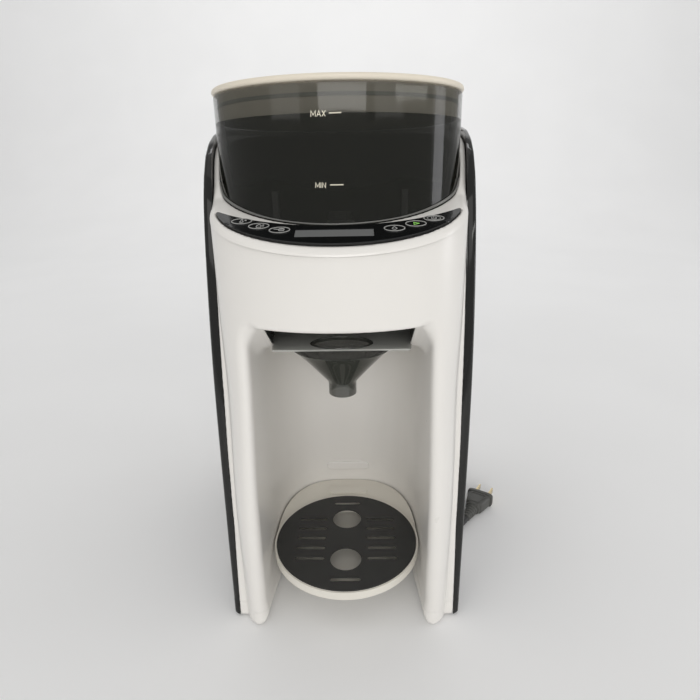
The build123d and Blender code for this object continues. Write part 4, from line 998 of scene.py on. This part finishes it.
# ------------------------------------------------------------------ funnel drawer
def build_funnel():
    def ov(a, b, z, n=160):
        return ellipse(a, b, 0.0, z, n)

    R = []
    # outside of the bowl, slightly hollow towards the spout
    for t in np.linspace(0, 1, 15):
        k = t ** 0.92
        a = 34.4 + (10.6 - 34.4) * k
        b = 27.2 + (10.6 - 27.2) * k
        R.append(ov(a, b, 203.0 + (178.2 - 203.0) * t))
    R += [ov(10.2, 10.2, 177.0), ov(10.05, 10.05, 176.0), ov(10.0, 10.0, 172.0), ov(10.0, 10.0, 168.25), ov(9.8, 9.8, 168.0), ov(8.6, 8.6, 168.0), ov(8.45, 8.45, 168.2), ov(8.4, 8.4, 173.0), ov(8.4, 8.4, 177.6)]
    for t in np.linspace(1, 0, 15):
        k = t ** 0.92
        R.append(ov(33.2 + (9.2 - 33.2) * k, 26.0 + (9.2 - 26.0) * k, 203.2 + (179.0 - 203.2) * t))
    R += [ov(33.3, 26.1, 203.4), ov(34.2, 27.0, 203.4)]
    ob = loft_mesh("funnel_bowl", R, SMOKE_G, loop=True, sharp=32, body="funnel")
    # runners of the bowl, set back under the cover
    V, F = [], []

    def slab(poly, z0, z1):
        b = len(V)
        n = len(poly)
        for z in (z0, z1):
            V.extend((x, y, z) for x, y in poly)
        F.append(tuple(b + i for i in range(n - 1, -1, -1)))
        F.append(tuple(b + n + i for i in range(n)))
        for i in range(n):
            j = (i + 1) % n
            F.append((b + i, b + j, b + n + j, b + n + i))
    for s in (-1, 1):
        p = [(s * 34.8, -3.0), (s * 46.6, -3.0), (s * 47.6, -1.8), (s * 50.9, 14.0), (s * 50.9, 50.5), (s * 50.0, 51.6), (s * 34.8, 51.6)]
        slab(p if s > 0 else p[::-1], 201.0, 203.1)
    slab([(-34.6, 28.5), (34.6, 28.5), (34.6, 51.6), (-34.6, 51.6)], 201.0, 203.1)
    run = mesh_object("funnel_runners", to_frame(V), F, SMOKE_G, smooth=False, body="funnel")
    bv = run.modifiers.new("edge", "BEVEL")
    bv.width = 0.0003
    bv.segments = 2
    bv.limit_method = "ANGLE"
    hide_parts("funnel_body")

    # cover: thin plate with a raised double rim round the oval mouth
    n = 240
    t = np.linspace(0, 2 * math.pi, n, endpoint=False)
    poly = [(-47.0, -12.5), (47.0, -12.5), (48.0, -9.0), (51.1, 14.0), (51.1, 51.5), (-51.1, 51.5), (-51.1, 14.0), (-48.0, -9.0)]

    def outline(off, z):
        out = []
        for a in t:
            dx, dy = math.sin(a), -math.cos(a)
            best = 1e9
            for i in range(len(poly)):
                x0, y0 = poly[i]
                x1, y1 = poly[(i + 1) % len(poly)]
                ex, ey = x1 - x0, y1 - y0
                L = math.hypot(ex, ey)
                nx, ny = ey / L, -ex / L
                den = nx * dx + ny * dy
                if den > 1e-6:
                    k = ((x0 * nx + (y0 - 1.5) * ny) - off) / den
                    best = min(best, k)
            out.append((best * dx, 1.5 + best * dy, z))
        return np.array(out)

    ho = lambda a, b, z: ellipse(a, b, 1.5, z, n)
    R = [ho(22.3, 13.45, 204.2), ho(22.3, 13.45, 205.2), ho(22.5, 13.6, 205.5),
         outline(0.35, 205.5), outline(0.1, 205.4), outline(0.0, 205.15), outline(0.0, 204.5), outline(0.1, 204.25), outline(0.35, 204.15), outline(3.0, 204.1), ho(24.0, 13.55, 204.1)]
    # the cover's pale grey is painted light on what is smoke plastic
    cov = loft_mesh("funnel_lid", R, SMOKE_COVER_PAINTED_LIGHT, loop=True, sharp=30, body="funnel")
    R = [ho(20.5, 12.2, 203.4), ho(20.5, 12.2, 205.7), ho(20.7, 12.35, 206.0), ho(21.0, 12.6, 206.0), ho(21.2, 12.75, 205.7), ho(21.25, 12.8, 205.15), ho(21.7, 13.1, 205.15), ho(21.75, 13.15, 205.45), ho(22.0, 13.3, 205.5),
         ho(22.2, 13.4, 205.35), ho(22.25, 13.42, 204.2), ho(21.5, 12.9, 203.35)]
    mouth = loft_mesh("funnel_mouth", R, SMOKE_G, loop=True, sharp=30, body="funnel")
    V, F = [], []
    slab([(-50.4, 32.6), (50.4, 32.6), (50.4, 35.4), (-50.4, 35.4)], 205.2, 207.4)
    rib = mesh_object("funnel_rib", to_frame(V), F, SMOKE_COVER_PAINTED_LIGHT, smooth=False, body="funnel")
    bv = rib.modifiers.new("edge", "BEVEL")
    bv.width = 0.0003
    bv.segments = 2
    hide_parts("funnel_cover")


def build_chute():
    c = lambda r, z: ellipse(r, r, 0.0, z, 96)
    R = [c(5.2, 214.4), c(5.0, 216.0), c(6.0, 225.0), c(9.8, 240.0), c(10.4, 256.6), c(10.8, 257.0), c(12.2, 257.0), c(12.6, 256.6), c(12.4, 241.0), c(7.6, 226.0), c(7.2, 218.0), c(7.0, 214.4), c(6.6, 214.0), c(5.6, 214.0)]
    # the spout is near-black as painted shade, so it sinks into the shadow under the head instead of showing as white
    # plastic
    ob = loft_mesh("powder_spout", R, SLOT_SHADE_DARK, loop=True, sharp=40, body="machine")
    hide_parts("powder_chute")


def build_slot_liner():
    """side walls and back of the drawer slot, near-black: painted shade standing in for the shadow under the head"""
    V, F = [], []
    for s in (-1, 1):
        b = len(V)
        V += [(s * 48.2, -6.2, 208.4), (s * 48.6, -4.0, 208.4), (s * 52.2, 14.0, 208.4), (s * 52.2, 54.0, 208.4),
              (s * 48.2, -34.8, 229.3), (s * 48.6, -4.0, 229.3), (s * 52.2, 14.0, 229.3), (s * 52.2, 54.0, 229.3)]
        for i in range(3):
            F.append((b + i, b + i + 1, b + 5 + i, b + 4 + i))
    b = len(V)
    V += [(-52.2, 54.0, 200.8), (52.2, 54.0, 200.8), (52.2, 54.0, 231.0), (-52.2, 54.0, 231.0)]
    F.append((b, b + 1, b + 2, b + 3))
    ob = mesh_object("slot_shade_walls", to_frame(V), F, SLOT_SHADE_DARK, smooth=False, body="machine")
    so = ob.modifiers.new("wall", "SOLIDIFY")
    so.thickness = 0.0010
    so.offset = 0.0


# ------------------------------------------------------------------ plug
def build_plug():
    S = np.array((110.2, 63.0, 7.2))
    dx, dy = 0.53, 0.848
    ln = math.hypot(dx, dy)
    ax = np.array((dx / ln, dy / ln, 0.0))
    sd = np.array((dy / ln, -dx / ln, 0.0))
    up = np.array((0, 0, 1.0))

    def ring(s, w, hgt, n=4.0, dz=0.0, k=72):
        out = []
        for t in np.linspace(0, 2 * math.pi, k, endpoint=False):
            c, sn = math.cos(t), math.sin(t)
            x = math.copysign(abs(c) ** (2 / n), c) * w / 2
            z = math.copysign(abs(sn) ** (2 / n), sn) * hgt / 2
            out.append(S + ax * s + sd * x + up * (z + dz))
        return out

    # ribbed strain relief, collar, wedge-shaped block with its flange
    R = [ring(0.0, 6.6, 6.6, 2)]
    s = 0.6
    for i in range(5):
        g = 3.5 + 0.42 * i
        R += [ring(s, 2 * g, 2 * g, 2), ring(s + 0.25, 2 * g + 0.7, 2 * g + 0.7, 2), ring(s + 1.9, 2 * g + 0.9, 2 * g + 0.9, 2), ring(s + 2.15, 2 * g + 0.1, 2 * g + 0.1, 2), ring(s + 3.0, 2 * g + 0.2, 2 * g + 0.2, 2)]
        s += 3.1
    R += [ring(16.2, 11.4, 11.0, 2.2), ring(16.6, 13.2, 11.8, 2.6), ring(18.6, 13.8, 12.2, 2.8), ring(19.0, 13.0, 11.6, 3.2), ring(19.6, 14.6, 11.9, 4.2)]
    for t in np.linspace(0, 1, 7):
        R.append(ring(20.2 + 14.6 * t, 15.4 + 6.6 * t ** 0.8, 12.3 + 0.8 * t, 5.0))
    R += [ring(35.4, 21.6, 12.6, 5.2), ring(35.9, 22.2, 12.8, 5.2), ring(36.2, 24.6, 13.8, 5.2), ring(36.5, 25.0, 14.0, 5.2), ring(39.5, 25.0, 14.0, 5.2), ring(39.9, 24.4, 13.6, 5.2)]
    ob = loft_mesh("plug_body", R, PLUG, cap0=True, cap1=True, sharp=50, body="machine")
    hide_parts("mains_plug")
    # raised frame of the grip on the top face
    V, F = [], []
    pts = []
    for u, v in [(22.0, 4.6), (32.4, 7.2), (33.6, 6.2), (33.6, -6.2), (32.4, -7.2), (22.0, -4.6), (20.9, -3.6), (20.9, 3.6)]:
        pts.append((u, v))
    stroke_quads(fine(pts + [pts[0]], 1.5)[:-1], 0.9, V, F, closed=True)
    out = []
    for u, v, k in V:
        t = (u - 20.2) / 14.6
        zt = (12.3 + 0.8 * min(max(t, 0), 1)) / 2
        out.append(S + ax * u + sd * v + up * (zt - 0.35 + 0.75 * k))
    grip = mesh_object("plug_grip", to_frame(out), F, PLUG, smooth=False, body="machine")
    # blades
    bl = []
    for sgn in (-1, 1):
        R = []
        for s_, w, hg in [(39.4, 1.5, 6.3), (53.5, 1.5, 6.3), (55.2, 1.4, 5.6), (56.6, 1.0, 4.2), (57.0, 0.6, 3.4)]:
            R.append([S + ax * s_ + sd * (sgn * 6.35 + cx * w / 2) + up * (cz * hg / 2) for cx, cz in
                      ((-1, -0.9), (-0.8, -1), (0.8, -1), (1, -0.9), (1, 0.9), (0.8, 1), (-0.8, 1), (-1, 0.9))])
        b = loft_mesh("plug_blade_%s" % ("a" if sgn < 0 else "b"), R, BLADE, cap0=True, cap1=True, sharp=40, body="machine")
        bl.append(b)
    return [ob, grip] + bl


# ------------------------------------------------------------------ pill on the bay's back wall
def build_wall_pill():
    rings = []
    for o, dy in [(0.0, 1.2), (0.0, -0.2), (0.12, -0.75), (0.45, -1.1), (1.0, -1.3), (1.8, -1.35), (4.0, -1.35)]:
        r = 4.3 - o
        pts = []
        for t in np.linspace(0, 2 * math.pi, 96, endpoint=False):
            x = (15.7 if math.cos(t) > 0 else -15.7) + r * math.cos(t)
            z = 50.5 + r * math.sin(t)
            yb = 5 + 83.0 * (1 - (abs(x) / 59.0) ** 2.8) ** (1 / 2.8)
            pts.append((x, yb + dy, z))
        rings.append(pts)
    ob = loft_mesh("wall_pad", rings, WHITE_IN, cap0=True, cap1=True, sharp=60, body="machine")
    return ob


# ------------------------------------------------------------------ tray mat
def build_mat():
    """thin moulded disc with its holes and slots, and a skirt round the edge"""
    cu = D.curves.new("mat_outline", "CURVE")
    cu.dimensions = "2D"
    cu.fill_mode = "BOTH"
    cu.extrude = 0.0003
    cu.bevel_depth = 0.0002
    cu.bevel_resolution = 2
    cu.offset = -0.0002

    def outline(pts):
        sp = cu.splines.new("POLY")
        sp.points.add(len(pts) - 1)
        for p, (x, y) in zip(sp.points, pts):
            p.co = (x * 0.001, y * 0.001 + YT, 0.0, 1.0)
        sp.use_cyclic_u = True

    def disc(cx, cy, r, n):
        return [(cx + r * math.cos(2 * math.pi * k / n), cy + r * math.sin(2 * math.pi * k / n)) for k in range(n)]

    def slot(cx, cy, w, h):
        r = h / 2
        a = [(cx + w / 2 - r + r * math.sin(math.pi * k / 10), cy - r * math.cos(math.pi * k / 10)) for k in range(11)]
        return a + [(2 * cx - x, 2 * cy - y) for x, y in a]

    outline(disc(0, 0, 56.0, 160))
    outline(disc(0, 23.8, 12.0, 64))
    outline(disc(0, -24.2, 12.0, 64))
    for sx in (-1, 1):
        for k in (-2, -1, 0, 1, 2):
            outline(slot(sx * 28.0, 11.6 * k, 23.0, 3.4))
    outline(slot(0, 45.2, 22.5, 3.4))
    outline(slot(0, -45.2, 22.5, 3.4))
    tmp = D.objects.new("mat_tmp", cu)
    bpy.context.scene.collection.objects.link(tmp)
    dg = bpy.context.evaluated_depsgraph_get()
    me = D.meshes.new_from_object(tmp.evaluated_get(dg))
    D.objects.remove(tmp)
    if len(me.polygons) < 200:
        raise RuntimeError("mat outline failed")
    me.transform(Matrix.Translation((0, 0, 0.0375)))
    me.materials.clear()
    me.materials.append(MATBLACK.m)
    for p in me.polygons:
        p.material_index = 0
    ob = D.objects.new("mat_disc", me)
    bpy.context.scene.collection.objects.link(ob)
    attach(ob, "mat")
    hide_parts("tray_mat")
    c = lambda r, z: ellipse(r, r, 0.0, z, 160)
    sk = loft_mesh("mat_skirt", [c(56.0, 37.2), c(56.0, 35.7), c(55.8, 35.5), c(54.8, 35.5), c(54.6, 35.7), c(54.6, 37.2)], MATBLACK, loop=True, body="mat")
    return ob


# ------------------------------------------------------------------ mains lead
def coil_step(t, a, b):
    x = min(1.0, max(0.0, (t - a) / (b - a)))
    return x * x * (3 - 2 * x)


def make_cord():
    pts = [
        (0.0200, 0.1810, 0.0200), (0.0200, 0.19049, 0.0200), (0.0196, 0.20115, 0.01736), (0.0189, 0.21085, 0.01224),
        (0.0185, 0.22151, 0.0096), (0.0185, 0.2310, 0.0096), (0.0185, 0.2400, 0.0096), (0.0188, 0.2525, 0.0095),
    ]
    # nearly three turns: outer column on top, inner column, outer column on the table
    for i in range(1, 39):
        t = i / 14.0
        rr = (36.5 - 6.8 * coil_step(t, 0.68, 0.98) + 6.8 * coil_step(t, 1.74, 2.0)) * 1.013
        a = 2 * math.pi * t
        pts.append((-0.018 + rr * 0.001 * math.cos(a), 0.2525 + rr * 0.001 * math.sin(a), 0.0095 - 0.0064 * coil_step(t, 1.0, 1.7)))
    pts += [
        (-0.0140, 0.2160, 0.0031), (0.0035, 0.2160, 0.0031), (0.0130, 0.2160, 0.0031), (0.0295, 0.21615, 0.0031),
        (0.04733, 0.2160, 0.0031), (0.06026, 0.21041, 0.0031), (0.0699, 0.20014, 0.0031), (0.07467, 0.18689, 0.0031),
        (0.07241, 0.15901, 0.0031), (0.06894, 0.11019, 0.0031), (0.06577, 0.05668, 0.0031), (0.06349, 0.01712, 0.0031),
        (0.06218, -0.00848, 0.0031), (0.06113, -0.02827, 0.0031), (0.06727, -0.04046, 0.00412), (0.07873, -0.04789, 0.00515),
        (0.09237, -0.04852, 0.00618), (0.10446, -0.04218, 0.0072), (0.1102, -0.0330, 0.0072),
    ]
    cu = D.curves.new("mains_lead", "CURVE")
    cu.dimensions = "3D"
    sp = cu.splines.new("NURBS")
    sp.points.add(len(pts) - 1)
    for p, q in zip(sp.points, pts):
        p.co = (q[0], q[1], q[2], 1.0)
    sp.order_u = 3
    sp.use_endpoint_u = True
    sp.resolution_u = 8
    cu.bevel_depth = 0.003
    cu.bevel_resolution = 6
    cu.use_fill_caps = True
    cu.materials.append(CORD.m)
    ob = D.objects.new("mains_lead", cu)
    bpy.context.scene.collection.objects.link(ob)
    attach(ob, "machine")
    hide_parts("lead_a", "lead_b", "cord_coil")
    return ob


build_housing()
build_bezel()
cut_panel()
build_side(-1, "side_panel_left")
build_side(1, "side_panel_right")
build_container()
build_lid()
build_foot_ring()
build_seat_well()
build_marks()
build_keys()
build_wall_pill()
build_mat()
build_funnel()
build_chute()
build_slot_liner()
plug = build_plug()
make_cord()


# ------------------------------------------------------------------ stage and light
def make_stage():
    m = Mat("floor_pale")
    n = m.noise(3.0, 2.0)
    r = m.ramp(n.outputs["Fac"], [(0.4, (0.90, 0.90, 0.90)), (0.6, (0.915, 0.915, 0.915))])
    m.link(r.outputs["Color"], m.b.inputs["Base Color"])
    m.set(Roughness=0.6)
    m.b.inputs["Specular IOR Level"].default_value = 0.2
    prof = [(-5.0, 0.0), (1.5, 0.0)]
    for k in range(1, 25):
        a = math.radians(90.0 * k / 24)
        prof.append((1.5 + 1.1 * math.sin(a), 1.1 - 1.1 * math.cos(a)))
    prof.append((2.6, 3.6))
    V = [(x, y, z) for y, z in prof for x in (-6.0, 6.0)]
    F = [(2 * i, 2 * i + 1, 2 * i + 3, 2 * i + 2) for i in range(len(prof) - 1)]
    fl = mesh_object("floor", V, F, m, smooth=True)
    fl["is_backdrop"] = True
    w = D.worlds.new("studio")
    bpy.context.scene.world = w
    w.use_nodes = True
    bg = w.node_tree.nodes["Background"]
    bg.inputs[0].default_value = (1.0, 1.0, 1.0, 1.0)
    bg.inputs[1].default_value = 0.46


def area(name, loc, target, sx, sy, power, color=(1, 1, 1)):
    li = D.lights.new(name, "AREA")
    li.shape = "RECTANGLE"
    li.size = sx
    li.size_y = sy
    li.energy = power
    li.color = color
    ob = D.objects.new(name, li)
    bpy.context.scene.collection.objects.link(ob)
    v = Vector(target) - Vector(loc)
    ob.rotation_euler = v.to_track_quat("-Z", "Y").to_euler()
    ob.location = loc
    return ob


make_stage()
area("top", (-0.2, -0.3, 2.3), (0, 0, 0.1), 2.4, 2.4, 5.0, (1.0, 0.975, 0.94))
area("front", (0.12, -2.1, 0.88), (0, -0.02, 0.2), 1.3, 0.8, 14.0, (1.0, 0.985, 0.96))
area("front_left", (-1.3, -1.7, 0.9), (0, 0, 0.2), 0.9, 0.9, 2.5, (1.0, 0.985, 0.96))
area("front_right", (1.3, -1.7, 0.9), (0, 0, 0.2), 0.9, 0.9, 2.0, (1.0, 0.985, 0.96))
area("window_right", (2.05, -0.02, 0.42), (0, -0.05, 0.36), 0.55, 1.1, 5.0, (0.97, 0.97, 1.0))
area("bar_right", (1.75, -1.16, 0.56), (0, -0.1, 0.36), 1.1, 0.07, 0.8, (1.0, 1.0, 0.95))
area("wash", (0.0, 0.75, 2.5), (0, 2.9, 1.4), 3.0, 0.6, 26.0, (1.0, 1.0, 1.0))
for o in D.objects:
    if o.type == "LIGHT":
        o.visible_camera = False
bpy.context.scene.view_settings.view_transform = "Standard"

{"cad": [[float(c) for c in v] for v in cad_box], "visual": [[float(c) for c in v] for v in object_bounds()]}
